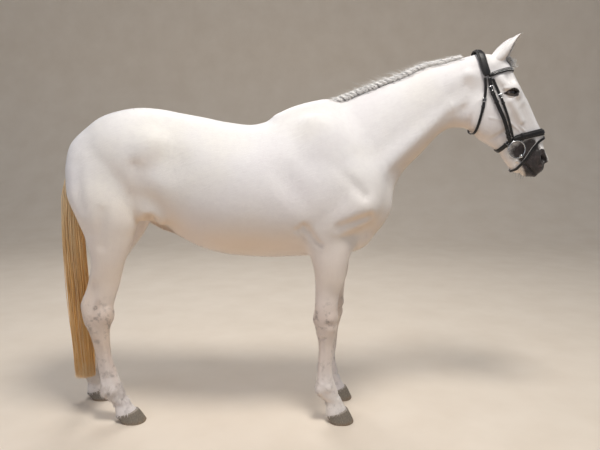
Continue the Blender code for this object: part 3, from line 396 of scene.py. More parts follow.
def trunk_muscles(form, p):
    # Shoulder blade and the muscles over it, then the point of the shoulder and the upper arm.
    return shaped(form, p, (
        (0.09, ball, (0.165, 0.140, 1.350), (0.230, 0.066, 0.120), 118),
        (0.06, ball, (0.285, 0.160, 1.200), (0.120, 0.072, 0.135), 20),
        (0.06, ball, (0.085, 0.185, 1.150), (0.150, 0.062, 0.150), 30),
        (0.05, cord, (0.290, 0.170, 1.120), (0.110, 0.160, 0.990), 0.090, 0.075),
        # Breast muscles, parted down the middle.
        (0.05, ball, (0.335, 0.080, 1.120), (0.118, 0.085, 0.150), -15),
        (0.05, ball, (0.240, 0.075, 0.960), (0.120, 0.075, 0.085)),
        # Withers, and the muscle along the back on each side of the spine.
        (0.06, cord, (-0.100, 0.020, 1.535), (0.120, 0.012, 1.600), 0.030),
        # Rump: the muscle over the hip, and the bony point of the hip.
        (0.08, ball, (-0.850, 0.118, 1.400), (0.200, 0.130, 0.158), -6),
        (0.06, ball, (-0.715, 0.205, 1.400), (0.075, 0.055, 0.070)),
        (0.06, ball, (-1.035, 0.120, 1.345), (0.100, 0.090, 0.120), 20),
        # The fold of skin between the flank and the stifle.
        (0.06, ball, (-0.745, 0.170, 1.100), (0.100, 0.048, 0.060), -38),
        # Hollow of the flank, and the shallow groove behind the shoulder.
        (-0.06, ball, (-0.610, 0.330, 1.360), (0.100, 0.060, 0.110)),
        (-0.06, ball, (-0.060, 0.320, 1.300), (0.055, 0.048, 0.190), 28),
    ))


def neck_form(p):
    x, y, z = p
    along, across = turned(x, z, NECK_ROOT, NECK_RISE)
    low, high, half = stations(NECK, along)
    widest = low + 0.42 * (high - low)
    form = section(y, across, half, low, high, widest, 2.0, 1.75)
    form = carve(form, along + 0.06, 0.05)
    form = carve(form, 0.82 - along, 0.05)
    return form


def neck_muscles(form, p):
    # The long muscle from behind the jaw to the shoulder, with the jugular groove under it, and the atlas wing.
    return shaped(form, p, (
        (0.07, cord, (0.820, 0.034, 1.650), (0.400, 0.105, 1.300), 0.012, 0.038),
        (-0.04, cord, (0.745, 0.098, 1.545), (0.470, 0.160, 1.265), 0.012, 0.016),
        (0.03, ball, (0.850, 0.055, 1.735), (0.055, 0.026, 0.034), -50),
        # The gullet, which rounds off the corner between the neck and the jaw.
        (0.04, cord, (0.715, 0.0, 1.540), (0.783, 0.0, 1.562), 0.050),
        (0.04, cord, (0.783, 0.0, 1.562), (0.865, 0.0, 1.535), 0.050, 0.046),
    ))


def head_form(p):
    x, y, z = p
    along, across = turned(x, z, HEAD_ROOT, HEAD_DROP)
    low, high, half, widest = stations(HEAD, along)
    form = section(y, across, half, low, high, widest, 2.4, 2.5)
    form = carve(form, along + 0.065, 0.04)
    form = carve(form, 0.626 - along, 0.02)
    return form


def on_head(along, out, across):
    x, z = placed(along, across, HEAD_ROOT, HEAD_DROP)
    return (x, out, z)


def head_bones(form, p):
    # Rim of the eye socket, the arch behind it, the hollow above it, the crest of the cheek bone.
    return shaped(form, p, (
        (0.025, ball, on_head(0.170, 0.082, 0.072), (0.046, 0.022, 0.026), -60),
        (0.03, cord, on_head(0.080, 0.078, 0.030), on_head(0.150, 0.092, 0.050), 0.012),
        (-0.02, ball, on_head(0.112, 0.094, 0.082), (0.026, 0.014, 0.018), -60),
        (0.025, cord, on_head(0.215, 0.086, 0.028), on_head(0.330, 0.064, 0.038), 0.010, 0.007),
        # The round cheek muscle and the edge of the jaw.
        (0.03, ball, on_head(0.215, 0.052, -0.090), (0.118, 0.036, 0.098), -60),
        # The hollow between the jaw bones.
        (-0.03, cord, on_head(0.230, 0, -0.215), on_head(0.430, 0, -0.135), 0.026, 0.012),
        # Nostril, lips and chin.
        (0.02, ball, on_head(0.548, 0.038, 0.052), (0.036, 0.019, 0.026), -35),
        (0.02, ball, on_head(0.590, 0.0, 0.022), (0.030, 0.040, 0.034), -60, False),
        (0.02, ball, on_head(0.575, 0.0, -0.040), (0.030, 0.034, 0.024), -60, False),
        (0.02, ball, on_head(0.530, 0.0, -0.076), (0.032, 0.028, 0.022), -60, False),
        (-0.008, ball, on_head(0.546, 0.058, 0.054), (0.022, 0.010, 0.008), -35),
        (-0.01, cord, on_head(0.490, 0.056, -0.050), on_head(0.628, 0.030, -0.004), 0.004, 0.003),
    ))


# Each side, and how far its fore leg and its hind leg stand ahead.
SIDES = ((-1, None, None), (1, LEFT_FORE_AHEAD, LEFT_HIND_AHEAD))


def moved_back(p, ahead):
    """Places as they lie on the right leg."""
    return (p[0] - np.interp(p[2], *zip(*ahead)), p[1], p[2]) if ahead else p


def foot_shift(ahead):
    """How far a foot stands ahead of the right one."""
    return float(np.interp(0.04, *zip(*ahead))) if ahead else 0.0


def leg_form(p, table, side, ahead):
    """One leg: oval sections from its top to the coronet, moved forward or back by height."""
    moved, y, z = moved_back(p, ahead)
    back, front, half, out = stations(table, z)
    middle = 0.5 * (back + front)
    form = section(y - side * out, moved, half, back, front, middle, 2.15, 2.15)
    top = max(row[0] for row in table.values())
    return carve(form, top - z, 0.05)


def fore_leg_bones(form, p, side, ahead):
    """Knee, tendons, fetlock and the bulges of the forearm on one fore leg."""
    q = moved_back(p, ahead)
    out = side * 0.146
    form = shaped(form, q, (
        (0.03, ball, (0.175, side * 0.165, 0.800), (0.050, 0.040, 0.110), 0, False),
        (0.015, ball, (0.088, out, 0.545), (0.022, 0.022, 0.034), 0, False),
        (0.02, ball, (0.150, out, 0.555), (0.038, 0.056, 0.040), 0, False),
        (0.02, ball, (0.148, out, 0.500), (0.036, 0.050, 0.026), 0, False),
    ))
    for edge in (-1, 1):
        groove = cord(
            q, (0.117, out + edge * 0.034, 0.450), (0.112, out + edge * 0.033, 0.225), 0.007, 0.007, False
        )
        form = carve(form, groove, 0.012)
        form = join(form, ball(q, (0.100, out + edge * 0.018, 0.172), (0.020, 0.018, 0.024), 0, False), 0.012)
    return form


def hind_leg_bones(form, p, side, ahead):
    """Hock, tendon of the heel, tendons of the cannon and fetlock on one hind leg."""
    q = moved_back(p, ahead)
    out = side * 0.136
    form = join(form, ball(q, (-0.990, side * 0.134, 0.565), (0.046, 0.056, 0.052), 20, False), 0.02)
    form = join(form, cord(q, (-1.082, out, 0.610), (-1.070, out, 0.520), 0.022, 0.018, False), 0.02)
    for edge in (-1, 1):
        hollow = ball(q, (-1.040, out + edge * 0.056, 0.670), (0.022, 0.020, 0.070), -20, False)
        form = carve(form, hollow, 0.03)
        groove = cord(
            q, (-1.030, out + edge * 0.036, 0.440), (-1.004, out + edge * 0.035, 0.215), 0.007, 0.007, False
        )
        form = carve(form, groove, 0.012)
        form = join(form, ball(q, (-1.003, out + edge * 0.018, 0.160), (0.021, 0.018, 0.024), 0, False), 0.012)
    return form


def flesh(p):
    """Signed distance from the living outline of the whole horse without hooves, ears, eyes and long hair."""
    form = trunk_form(p)
    form = trunk_muscles(form, p)
    form = join(form, neck_muscles(neck_form(p), p), 0.06)
    form = join(form, head_bones(head_form(p), p), 0.03)
    for side, fore_ahead, hind_ahead in SIDES:
        fore = fore_leg_bones(leg_form(p, FORE_LEG, side, fore_ahead), p, side, fore_ahead)
        form = join(form, fore, 0.045)
        hind = hind_leg_bones(leg_form(p, HIND_LEG, side, hind_ahead), p, side, hind_ahead)
        form = join(form, hind, 0.035)
    # The edge where the muscles of the thigh stand out from the flank.
    form = carve(form, cord(p, (-0.775, 0.300, 1.310), (-0.758, 0.290, 1.150), 0.026, 0.022), 0.035)
    return form


def grid_lines(bounds, cell):
    return [np.linspace(low, high, max(3, round((high - low) / cell) + 1)) for low, high in bounds]


def spread(values, old, new, axis):
    """Values on one axis of a coarse grid, blended onto a finer one."""
    left = np.clip(np.searchsorted(old, new) - 1, 0, len(old) - 2)
    shape = [1, 1, 1]
    shape[axis] = -1
    share = ((new - old[left]) / (old[left + 1] - old[left])).reshape(shape)
    return np.take(values, left, axis) * (1 - share) + np.take(values, left + 1, axis) * share


def sampled(form, axes):
    """The form on a grid: coarse everywhere, exact near the surface."""
    rough = [np.append(line[:-1:4], line[-1]) for line in axes]
    mesh = np.meshgrid(*rough, indexing="ij")
    values = form(tuple(m.ravel() for m in mesh)).reshape(mesh[0].shape)
    for axis in range(3):
        values = spread(values, rough[axis], axes[axis], axis)
    cell = max(line[1] - line[0] for line in axes)
    near = np.abs(values) < 5.5 * cell
    mesh = np.meshgrid(*axes, indexing="ij")
    values[near] = form(tuple(m[near] for m in mesh))
    for axis in range(3):
        edge = [slice(None)] * 3
        for end in (0, -1):
            edge[axis] = end
            values[tuple(edge)] = np.maximum(values[tuple(edge)], 0.2 * cell)
    return values


def softened(values):
    """Values averaged with their neighbours on the grid, so that nothing thinner than a cell is left."""
    for axis in range(3):
        inner = [slice(None)] * 3
        inner[axis] = slice(1, -1)
        before = list(inner)
        before[axis] = slice(0, -2)
        after = list(inner)
        after[axis] = slice(2, None)
        mixed = values.copy()
        mixed[tuple(inner)] = 0.5 * values[tuple(inner)] + 0.25 * (values[tuple(before)] + values[tuple(after)])
        values = mixed
    return values


def surface_net(values, axes):
    """Points and four-sided faces of the surface where the values change sign."""
    inside = values < 0
    shape = np.array(values.shape) - 1
    total = np.zeros((int(shape.prod()), 3))
    count = np.zeros(int(shape.prod()))
    sides = []
    for axis in range(3):
        first = [slice(0, -1) if a == axis else slice(1, -1) for a in range(3)]
        last = [slice(1, None) if a == axis else slice(1, -1) for a in range(3)]
        crossing = inside[tuple(first)] != inside[tuple(last)]
        place = np.argwhere(crossing) + [0 if a == axis else 1 for a in range(3)]
        start = values[tuple(first)][crossing]
        end = values[tuple(last)][crossing]
        point = np.stack([axes[a][place[:, a]] for a in range(3)], 1)
        point[:, axis] += start / (start - end) * (axes[axis][place[:, axis] + 1] - axes[axis][place[:, axis]])
        b, c = (axis + 1) % 3, (axis + 2) % 3
        ring = []
        for step_b, step_c in ((-1, -1), (0, -1), (0, 0), (-1, 0)):
            cell = place.copy()
            cell[:, b] += step_b
            cell[:, c] += step_c
            flat = np.ravel_multi_index(cell.T, shape)
            np.add.at(total, flat, point)
            np.add.at(count, flat, 1)
            ring.append(flat)
        ring = np.stack(ring, 1)
        sides.append(np.where((start < 0)[:, None], ring, ring[:, ::-1]))
    used = np.flatnonzero(count)
    index = np.zeros(len(count), int)
    index[used] = np.arange(len(used))
    return total[used] / count[used, None], index[np.concatenate(sides)]


# ---------------------------------------------------------------- skin
# One unbroken skin over the whole horse, a few millimetres inside the solids, where the hair is rooted.
# It carries the eyelids, nostrils, lips, jaw, wrinkles, veins and tendons. It is grown as a net on the form:
# coarse on the trunk, fine on the legs and head, and finest round the eyes, nostrils and mouth.
EYE_PLACE = (0.180, 0.0815, 0.050)
# The builder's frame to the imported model's: where the right eye stands in each.
low, high = (np.array(corner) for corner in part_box("eye_right"))
SHIFT = 0.5 * (low + high) - np.array(on_head(EYE_PLACE[0], -EYE_PLACE[1], EYE_PLACE[2]))
EYE_RADIUS = 0.0225
EYE_IN = 0.0018  # the real eyeball is larger than the solid one and stands that much deeper


def eye_frame(side):
    """The middle of one eyeball, and its forward, upward and outward directions."""
    out = np.array([0.30, side * 0.95, 0.03])
    out /= np.linalg.norm(out)
    onward = np.array([0.995, 0.0, 0.10])
    onward -= out * (onward @ out)
    onward /= np.linalg.norm(onward)
    up = np.cross(out, onward) * -side
    return np.array(on_head(EYE_PLACE[0], side * EYE_PLACE[1], EYE_PLACE[2])) - EYE_IN * out, onward, up, out


LID_HALF, LID_RISE, LID_DROP = 0.0240, 0.0140, 0.0105  # half the length of the opening, and its height each way
LID_OVER, LID_UNDER = ((LID_HALF**2 + high**2) / (2 * high) for high in (LID_RISE, LID_DROP))  # radii of its arcs


def almond(a, b):
    """Distance in the plane of the lids from the opening: two arcs that meet at the corners."""
    upper = np.hypot(a, b - LID_RISE + LID_OVER) - LID_OVER
    return np.maximum(upper, np.hypot(a, b + LID_DROP - LID_UNDER) - LID_UNDER)


def add_lids(form, p):
    """Eyelids: a thick shell over each eyeball, its opening, the rounded rims, and folds above and below."""
    for side in (-1, 1):
        centre, onward, up, out = eye_frame(side)
        d = [p[axis] - centre[axis] for axis in range(3)]
        near = d[0] ** 2 + d[1] ** 2 + d[2] ** 2 < 0.06**2
        if not near.any():
            continue
        d = [v[near] for v in d]
        a, b, c = (d[0] * way[0] + d[1] * way[1] + d[2] * way[2] for way in (onward, up, out))
        far = np.sqrt(a * a + b * b + c * c)
        gap = almond(a, b)
        here = form[near]
        brow = np.sqrt((a / 0.036) ** 2 + ((b - 0.0235) / 0.0075) ** 2 + ((c - 0.012) / 0.012) ** 2)
        here = join(here, (brow - 1) * 0.009, 0.012)
        here = join(here, far - (EYE_RADIUS + 0.0034), 0.010)
        rim = np.hypot(gap, far - (EYE_RADIUS + 0.0012)) - 0.0021
        here = join(here, np.where(c > -0.002, rim, 0.02), 0.003)
        floor = np.maximum(np.maximum(gap, EYE_RADIUS - 0.0045 - far), -0.002 - c)
        here = carve(here, floor, 0.0016)
        for reach, depth, above in ((0.0085, 0.0012, 1), (0.0085, 0.0012, -1), (0.0150, 0.0009, -1)):
            fold = np.hypot(gap - reach, far - (EYE_RADIUS + 0.0045 + 0.22 * reach)) - depth
            fold = fold + 0.006 * np.clip(0.006 - b * above, 0, 0.006) / 0.006
            here = carve(here, np.where(c > 0, fold, 0.02), 0.004)
        form = form.copy()
        form[near] = here
    return form


def fine_flesh(p):
    """The form with what shows on bare skin."""
    form = flesh(p)
    # Face: the bridge of the nose, the hollow beside it, the branching vein, wrinkles over the noseband.
    form = shaped(form, p, (
        (-0.034, cord, on_head(0.285, 0.093, 0.084), on_head(0.400, 0.074, 0.074), 0.010, 0.008),
        (0.024, cord, on_head(0.255, 0.032, 0.106), on_head(0.470, 0.022, 0.098), 0.004, 0.010),
        (0.006, cord, on_head(0.345, 0.064, 0.018), on_head(0.420, 0.052, 0.050), 0.0032, 0.0026),
        (0.007, cord, on_head(0.300, 0.077, -0.020), on_head(0.360, 0.060, 0.008), 0.0034, 0.0030),
        (0.006, cord, on_head(0.360, 0.060, 0.008), on_head(0.440, 0.051, 0.016), 0.0028, 0.0020),
        (0.008, cord, on_head(0.300, 0.077, -0.020), on_head(0.235, 0.087, -0.095), 0.0032, 0.0040),
        # The gristly root that each ear stands on.
        (0.022, cord, (0.955, 0.045, 1.805), (0.986, 0.051, 1.838), 0.031, 0.026),
        # Nostrils: a flared wing over a deep comma-shaped hole, its loose fold below, and a dimple behind.
        (0.010, cord, on_head(0.512, 0.046, 0.074), on_head(0.575, 0.042, 0.067), 0.0080),
        (0.010, cord, on_head(0.508, 0.049, 0.046), on_head(0.575, 0.050, 0.032), 0.0068, 0.0088),
        (-0.004, cord, on_head(0.514, 0.060, 0.063), on_head(0.566, 0.058, 0.052), 0.0070, 0.0135),
        (-0.005, cord, on_head(0.558, 0.050, 0.052), on_head(0.525, 0.028, 0.042), 0.0125, 0.0080),
        (-0.010, ball, on_head(0.500, 0.062, 0.048), (0.020, 0.006, 0.008), -60),
        # Mouth: the line of the lips, their rounded edges, and the crease at the corner.
        (0.010, cord, on_head(0.500, 0.047, -0.040), on_head(0.600, 0.022, 0.004), 0.0075, 0.0070),
        (0.009, cord, on_head(0.500, 0.044, -0.064), on_head(0.590, 0.018, -0.022), 0.0065, 0.0060),
        (-0.004, cord, on_head(0.482, 0.058, -0.053), on_head(0.628, 0.026, -0.006), 0.0030, 0.0024),
        (-0.005, cord, on_head(0.482, 0.058, -0.053), on_head(0.474, 0.060, -0.064), 0.0030, 0.0020),
        # Jaw: the edge of the bone, the groove in front of the cheek muscle, the hollow of the throat.
        (-0.018, cord, on_head(0.335, 0.072, -0.030), on_head(0.345, 0.062, -0.140), 0.006, 0.010),
        (-0.03, ball, on_head(0.060, 0.088, -0.120), (0.040, 0.012, 0.070), -70),
    ))
    # Neck: folds where the head bends it.
    for step in range(3):
        top = (0.842 - 0.022 * step, 0.096, 1.590 - 0.02 * step)
        form = carve(form, cord(p, top, (0.846 - 0.022 * step, 0.040, 1.482), 0.0015), 0.016)
    # Fore quarters: edge of the shoulder blade, the muscle behind the arm, the breast furrow, the folds at the elbow.
    return shaped(form, p, (
        (-0.04, cord, (0.105, 0.276, 1.400), (0.310, 0.252, 1.180), 0.008),
        (-0.04, cord, (0.330, 0.232, 1.070), (0.190, 0.252, 1.020), 0.008, 0.006),
        (-0.03, cord, (0.440, 0.0, 1.240), (0.330, 0.0, 0.980), 0.010, 0.014),
        (-0.025, cord, (0.020, 0.246, 1.030), (0.090, 0.226, 0.935), 0.006, 0.005),
        (-0.02, cord, (-0.010, 0.250, 1.010), (0.050, 0.225, 0.910), 0.005, 0.004),
        # Belly: the long vein, the skin between the hind legs, and the corner where the flank meets the stifle.
        (0.014, cord, (0.000, 0.215, 0.925), (-0.330, 0.165, 0.862), 0.006),
        (0.012, cord, (-0.330, 0.165, 0.862), (-0.520, 0.120, 0.900), 0.006, 0.004),
        (0.04, ball, (-0.700, 0.0, 1.022), (0.090, 0.045, 0.040), -30, False),
        (-0.02, ball, (-0.728, 0.215, 1.035), (0.034, 0.075, 0.042)),
        # Rump: the furrow over the tail head, and the long muscles at the back of the thigh.
        (-0.04, cord, (-0.820, 0.0, 1.620), (-1.060, 0.0, 1.540), 0.004, 0.008),
        (-0.05, cord, (-1.060, 0.268, 1.330), (-1.045, 0.284, 1.120), 0.010, 0.008),
        (-0.04, cord, (-0.930, 0.292, 1.100), (-0.960, 0.252, 0.930), 0.010, 0.008),
    ))


def leg_details(form, p):
    """Bones and cords under the thin skin of the lower legs."""
    for side, fore, hind in SIDES:
        q = moved_back(p, fore)
        out = side * 0.146
        edge = out + side * 0.030
        form = shaped(form, q, (
            (-0.018, cord, (0.185, side * 0.207, 0.830), (0.160, side * 0.192, 0.650), 0.006, 0.005, False),
            (-0.010, ball, (0.152, side * 0.206, 0.528), (0.026, 0.008, 0.006), 0, False),
            (-0.010, ball, (0.194, out, 0.530), (0.010, 0.030, 0.005), 0, False),
            (0.010, cord, (0.128, edge, 0.440), (0.118, edge, 0.260), 0.006, 0.005, False),
            (0.012, ball, (0.142, side * 0.176, 0.186), (0.020, 0.012, 0.020), 0, False),
            (-0.014, cord, (0.196, out - 0.03, 0.140), (0.196, out + 0.03, 0.140), 0.004, 0.004, False),
            (0.008, ball, (0.090, out, 0.130), (0.010, 0.007, 0.016), 20, False),
        ))
        q = moved_back(p, hind)
        out = side * 0.136
        edge = out + side * 0.030
        form = shaped(form, q, (
            (0.014, ball, (-0.975, side * 0.165, 0.590), (0.026, 0.014, 0.026), 20, False),
            (0.014, ball, (-0.985, side * 0.104, 0.600), (0.026, 0.014, 0.026), 20, False),
            (-0.012, cord, (-1.050, side * 0.172, 0.560), (-1.020, side * 0.172, 0.500), 0.006, 0.005, False),
            (0.010, cord, (-0.996, edge, 0.430), (-0.985, edge, 0.250), 0.006, 0.005, False),
            (0.012, ball, (-0.955, side * 0.168, 0.172), (0.020, 0.012, 0.020), 0, False),
            (-0.014, cord, (-0.904, out - 0.03, 0.132), (-0.904, out + 0.03, 0.132), 0.004, 0.004, False),
            (0.008, ball, (-1.012, out, 0.120), (0.010, 0.007, 0.016), 20, False),
        ))
    return form


def coat_depth(p):
    """How deep the skin lies under the tips of the coat."""
    on_face = np.clip((p[0] - 0.86) / 0.10, 0, 1)
    on_leg = np.clip((0.80 - p[2]) / 0.20, 0, 1)
    return 0.0032 - 0.0017 * np.maximum(on_face, on_leg)


def body_skin(p):
    return fine_flesh(p) + coat_depth(p)


def leg_skin(p):
    return leg_details(fine_flesh(p), p) + coat_depth(p)


def head_skin(p):
    return add_lids(fine_flesh(p), p) + np.where(p[0] > 0.99, 0.0010, coat_depth(p))


def grade_of(form, points, step=0.0008):
    """The form and its slope at points."""
    at = form(tuple(points.T))
    slope = []
    for axis in range(3):
        ahead = points.copy()
        ahead[:, axis] += step
        slope.append((form(tuple(ahead.T)) - at) / step)
    return at, np.stack(slope, 1)


def settled(points, form, rounds=2, reach=0.006):
    """Points moved onto the surface of the form."""
    for _ in range(rounds):
        at, slope = grade_of(form, points)
        size = np.maximum((slope**2).sum(1), 0.15)
        points = points - slope * np.clip(at / size, -reach, reach)[:, None]
    return points


def evened(points, edges, form, rounds=2, share=0.5):
    """Points slid along the surface towards the middle of their neighbours, so that the net stays even."""
    for _ in range(rounds):
        total = np.zeros_like(points)
        count = np.zeros(len(points))
        for a, b in ((0, 1), (1, 0)):
            np.add.at(total, edges[:, a], points[edges[:, b]])
            np.add.at(count, edges[:, a], 1)
        pull = total / np.maximum(count, 1)[:, None] - points
        slope = grade_of(form, points)[1]
        slope /= np.linalg.norm(slope, axis=1)[:, None] + 1e-9
        pull -= slope * (pull * slope).sum(1)[:, None]
        points = settled(points + share * pull, form, 1)
    return points


def smooth_mesh(made, name):
    """The mesh of a finished bmesh."""
    mesh = bpy.data.meshes.new(name)
    made.to_mesh(mesh)
    made.free()
    mesh.shade_smooth()
    return mesh


def net_of(form, axes):
    """A bmesh of the form's surface on a grid."""
    points, faces = surface_net(softened(sampled(form, axes)), axes)
    made = bmesh.new()
    corners = [made.verts.new(q) for q in points]
    for face in faces:
        ring = [corners[i] for i in face]
        if len(set(ring)) == 4 and made.faces.get(ring) is None:
            made.faces.new(ring)
    return made


def coordinates(made):
    return np.array([v.co[:] for v in made.verts])


def move_to(made, points, chosen=None):
    places = range(len(made.verts)) if chosen is None else chosen
    made.verts.ensure_lookup_table()
    for i, q in zip(places, points):
        made.verts[i].co = q


def work_on(made, chosen, form, rounds, even):
    """Settles and evens the chosen points of a net on the form."""
    made.verts.ensure_lookup_table()
    made.verts.index_update()
    place = np.full(len(made.verts), -1)
    place[chosen] = np.arange(len(chosen))
    ends = np.array([(e.verts[0].index, e.verts[1].index) for e in made.edges])
    ends = place[ends]
    ends = ends[(ends >= 0).all(1)]
    points = settled(coordinates(made)[chosen], form, rounds)
    if even:
        points = evened(points, ends, form, even)
    move_to(made, points, chosen)


def refine(made, inside):
    """Parts every face whose middle is inside a region into four."""
    middles = np.array([f.calc_center_median()[:] for f in made.faces])
    picked = np.flatnonzero(inside(middles))
    made.faces.ensure_lookup_table()
    edges = {e for i in picked for e in made.faces[i].edges}
    bmesh.ops.subdivide_edges(made, edges=list(edges), cuts=1, use_grid_fill=True)


def keep_side(made, point, away):
    """Cuts a net at a plane and drops what lies beyond it."""
    bmesh.ops.bisect_plane(
        made, geom=made.verts[:] + made.edges[:] + made.faces[:], dist=1e-5,
        plane_co=point, plane_no=away, clear_outer=True,
    )


def biggest_piece(made):
    """Keeps only the largest connected piece."""
    left = set(made.verts)
    pieces = []
    while left:
        piece = {left.pop()}
        front = set(piece)
        while front:
            front = {edge.other_vert(v) for v in front for edge in v.link_edges} - piece
            piece |= front
        left -= piece
        pieces.append(piece)
    pieces.sort(key=len)
    for piece in pieces[:-1]:
        bmesh.ops.delete(made, geom=list(piece), context="VERTS")


SEAM_POINT = Vector((0.740, 0.0, 1.600))
SEAM_WAY = Vector((0.95, 0.0, 0.30)).normalized()
CORONETS = ((0.190, 0.053, 0.283), (-0.894, 0.048, 0.260))  # each pair of feet: X, height there, rise per metre


def end_in_hoof(made, side, x, z, rise):
    """Cuts one foot off along its coronet, a little way down inside the hoof."""
    verts = [v for v in made.verts if v.co.z < 0.13 and v.co.y * side > 0 and abs(v.co.x - x) < 0.13]
    inside = set(verts)
    edges = [e for e in {e for v in verts for e in v.link_edges} if all(v in inside for v in e.verts)]
    faces = [f for f in {f for v in verts for f in v.link_faces} if all(v in inside for v in f.verts)]
    geom = [thing for kind in (verts, edges, faces) for thing in sorted(kind, key=lambda one: one.index)]
    bmesh.ops.bisect_plane(
        made, geom=geom, dist=1e-5, plane_co=(x, 0, z), plane_no=(rise, 0, -1), clear_outer=True,
    )


def near_places(middles, places, reach):
    return np.min([np.linalg.norm(middles - np.array(place), axis=1) for place in places], axis=0) < reach


def grow_skin():
    """The two nets, cut at one plane across the neck and laced together there."""
    cell = 0.0142
    body = net_of(body_skin, grid_lines(((-1.24, 0.88), (-0.345, 0.345), (-0.02, 1.90)), cell))
    keep_side(body, SEAM_POINT, SEAM_WAY)
    biggest_piece(body)
    refine(body, lambda m: m[:, 2] < 0.66)
    spots = coordinates(body)
    free = np.array([not v.is_boundary for v in body.verts])
    work_on(body, np.flatnonzero(free & (spots[:, 2] >= 0.64)), body_skin, 2, 1)
    work_on(body, np.flatnonzero(free & (spots[:, 2] < 0.64)), leg_skin, 2, 2)
    head = net_of(head_skin, grid_lines(((0.66, 1.275), (-0.20, 0.20), (1.22, 1.93)), 0.0052))
    keep_side(head, SEAM_POINT + SEAM_WAY * 0.008, -SEAM_WAY)
    biggest_piece(head)
    eyes = [eye_frame(side)[0] for side in (-1, 1)]
    muzzle = [
        on_head(s, side * y, t)
        for side in (-1, 1) for s, y, t in (
            (0.545, 0.050, 0.050), (0.500, 0.050, -0.055), (0.560, 0.035, -0.035), (0.600, 0.020, 0.0)
        )
    ]
    refine(head, lambda m: near_places(m, eyes, 0.040) | near_places(m, muzzle, 0.038))
    refine(head, lambda m: near_places(m, eyes, 0.031))
    free = np.flatnonzero([not v.is_boundary for v in head.verts])
    work_on(head, free, head_skin, 3, 2)
    spots = coordinates(head)
    lids = [v for v, near in zip(head.verts, near_places(spots, eyes, 0.034)) if near]
    for _ in range(2):
        bmesh.ops.smooth_vert(head, verts=lids, factor=0.5, use_axis_x=True, use_axis_y=True, use_axis_z=True)
    mesh = bpy.data.meshes.new("head")
    head.to_mesh(mesh)
    body.from_mesh(mesh)
    bpy.data.meshes.remove(mesh)
    body.verts.index_update()
    body.edges.index_update()
    body.faces.index_update()
    ring = [e for e in body.edges if e.is_boundary]
    bmesh.ops.bridge_loops(body, edges=ring)
    for side, fore, hind in SIDES:
        for (x, z, rise), ahead in zip(CORONETS, (fore, hind)):
            end_in_hoof(body, side, x + foot_shift(ahead), z - 0.009, rise)
    bmesh.ops.holes_fill(body, edges=[e for e in body.edges if e.is_boundary], sides=0)
    bmesh.ops.recalc_face_normals(body, faces=body.faces[:])
    return body


EAR_ROOT = (0.990, 0.052, 1.843)
EAR_TIP = (1.086, 0.062, 1.946)
# Share of the ear's length, radius of its cup there, and how much of a full turn the cup goes round.
EAR = (
    (-0.34, 0.0190, 0.97), (-0.12, 0.0295, 0.95), (0.10, 0.0335, 0.83), (0.30, 0.0350, 0.70), (0.50, 0.0320, 0.61),
    (0.70, 0.0250, 0.55), (0.86, 0.0155, 0.50), (0.96, 0.0068, 0.46), (1.01, 0.0012, 0.44),
)


def ear_frame(side):
    root = np.array([EAR_ROOT[0], side * EAR_ROOT[1], EAR_ROOT[2]])
    tip = np.array([EAR_TIP[0], side * EAR_TIP[1], EAR_TIP[2]])
    axis = tip - root
    length = float(np.linalg.norm(axis))
    axis /= length
    mouth = np.array([0.80, side * 0.36, -0.48])
    mouth -= axis * (mouth @ axis)
    mouth /= np.linalg.norm(mouth)
    return root, axis, length, mouth, np.cross(axis, mouth)


def lace(made, rings):
    """Faces between rings of points, each ring laced to the next."""
    for first, second in zip(rings, rings[1:]):
        count = len(first)
        for k in range(count):
            made.faces.new((first[k], first[(k + 1) % count], second[(k + 1) % count], second[k]))


def add_ear(made, side, steps=26, around=18):
    """A cupped shell of gristle and thin skin, open forwards and outwards, its edges rolled and its tip turned in."""
    root, axis, length, mouth, cross = ear_frame(side)
    shares = np.linspace(EAR[0][0], EAR[-1][0], steps)
    places, radii, turns = zip(*EAR)
    rings = []
    for share, radius, turn in zip(shares, through(places, radii, shares), through(places, turns, shares)):
        centre = root + axis * length * share - mouth * (0.012 * share * share - 0.010 * max(share - 0.7, 0) ** 2)
        wall = min(0.0036, 0.5 * radius)
        outer = []
        inner = []
        for k in range(around):
            way = 2 * k / (around - 1) - 1
            angle = math.pi + turn * math.pi * way
            spoke = mouth * math.cos(angle) * 0.85 + cross * math.sin(angle)
            roll = 1 - 0.10 * abs(way) ** 6
            outer.append(centre + spoke * radius * roll)
            inner.append(centre + spoke * (radius * roll - wall * (1 - 0.5 * abs(way) ** 8)))
        rings.append([made.verts.new(q) for q in outer + inner[::-1]])
    lace(made, rings)
    count = len(rings[0])
    for ring, turn in ((rings[0], -1), (rings[-1], 1)):
        for k in range(count // 2 - 1):
            made.faces.new((ring[k], ring[k + 1], ring[count - 2 - k], ring[count - 1 - k])[::turn])


skin_net = grow_skin()
for side in (-1, 1):
    add_ear(skin_net, side)
skin_mesh = smooth_mesh(skin_net, "skin")


def blur(value, low, high):
    """0 below low, 1 above high, smooth between."""
    t = np.clip((value - low) / (high - low), 0, 1)
    return t * t * (3 - 2 * t)


def head_place(p):
    """Places along the head from the poll, and across it towards the face."""
    return turned(p[0], p[2], HEAD_ROOT, HEAD_DROP)


def on_the_head(p):
    """1 on the head, 0 behind it."""
    return blur(p[0], 0.86, 0.95) * blur(p[2], 1.18, 1.24)


def leg_share(p):
    """1 on the legs, 0 on the trunk."""
    return 1 - blur(p[2], 0.80, 1.00)


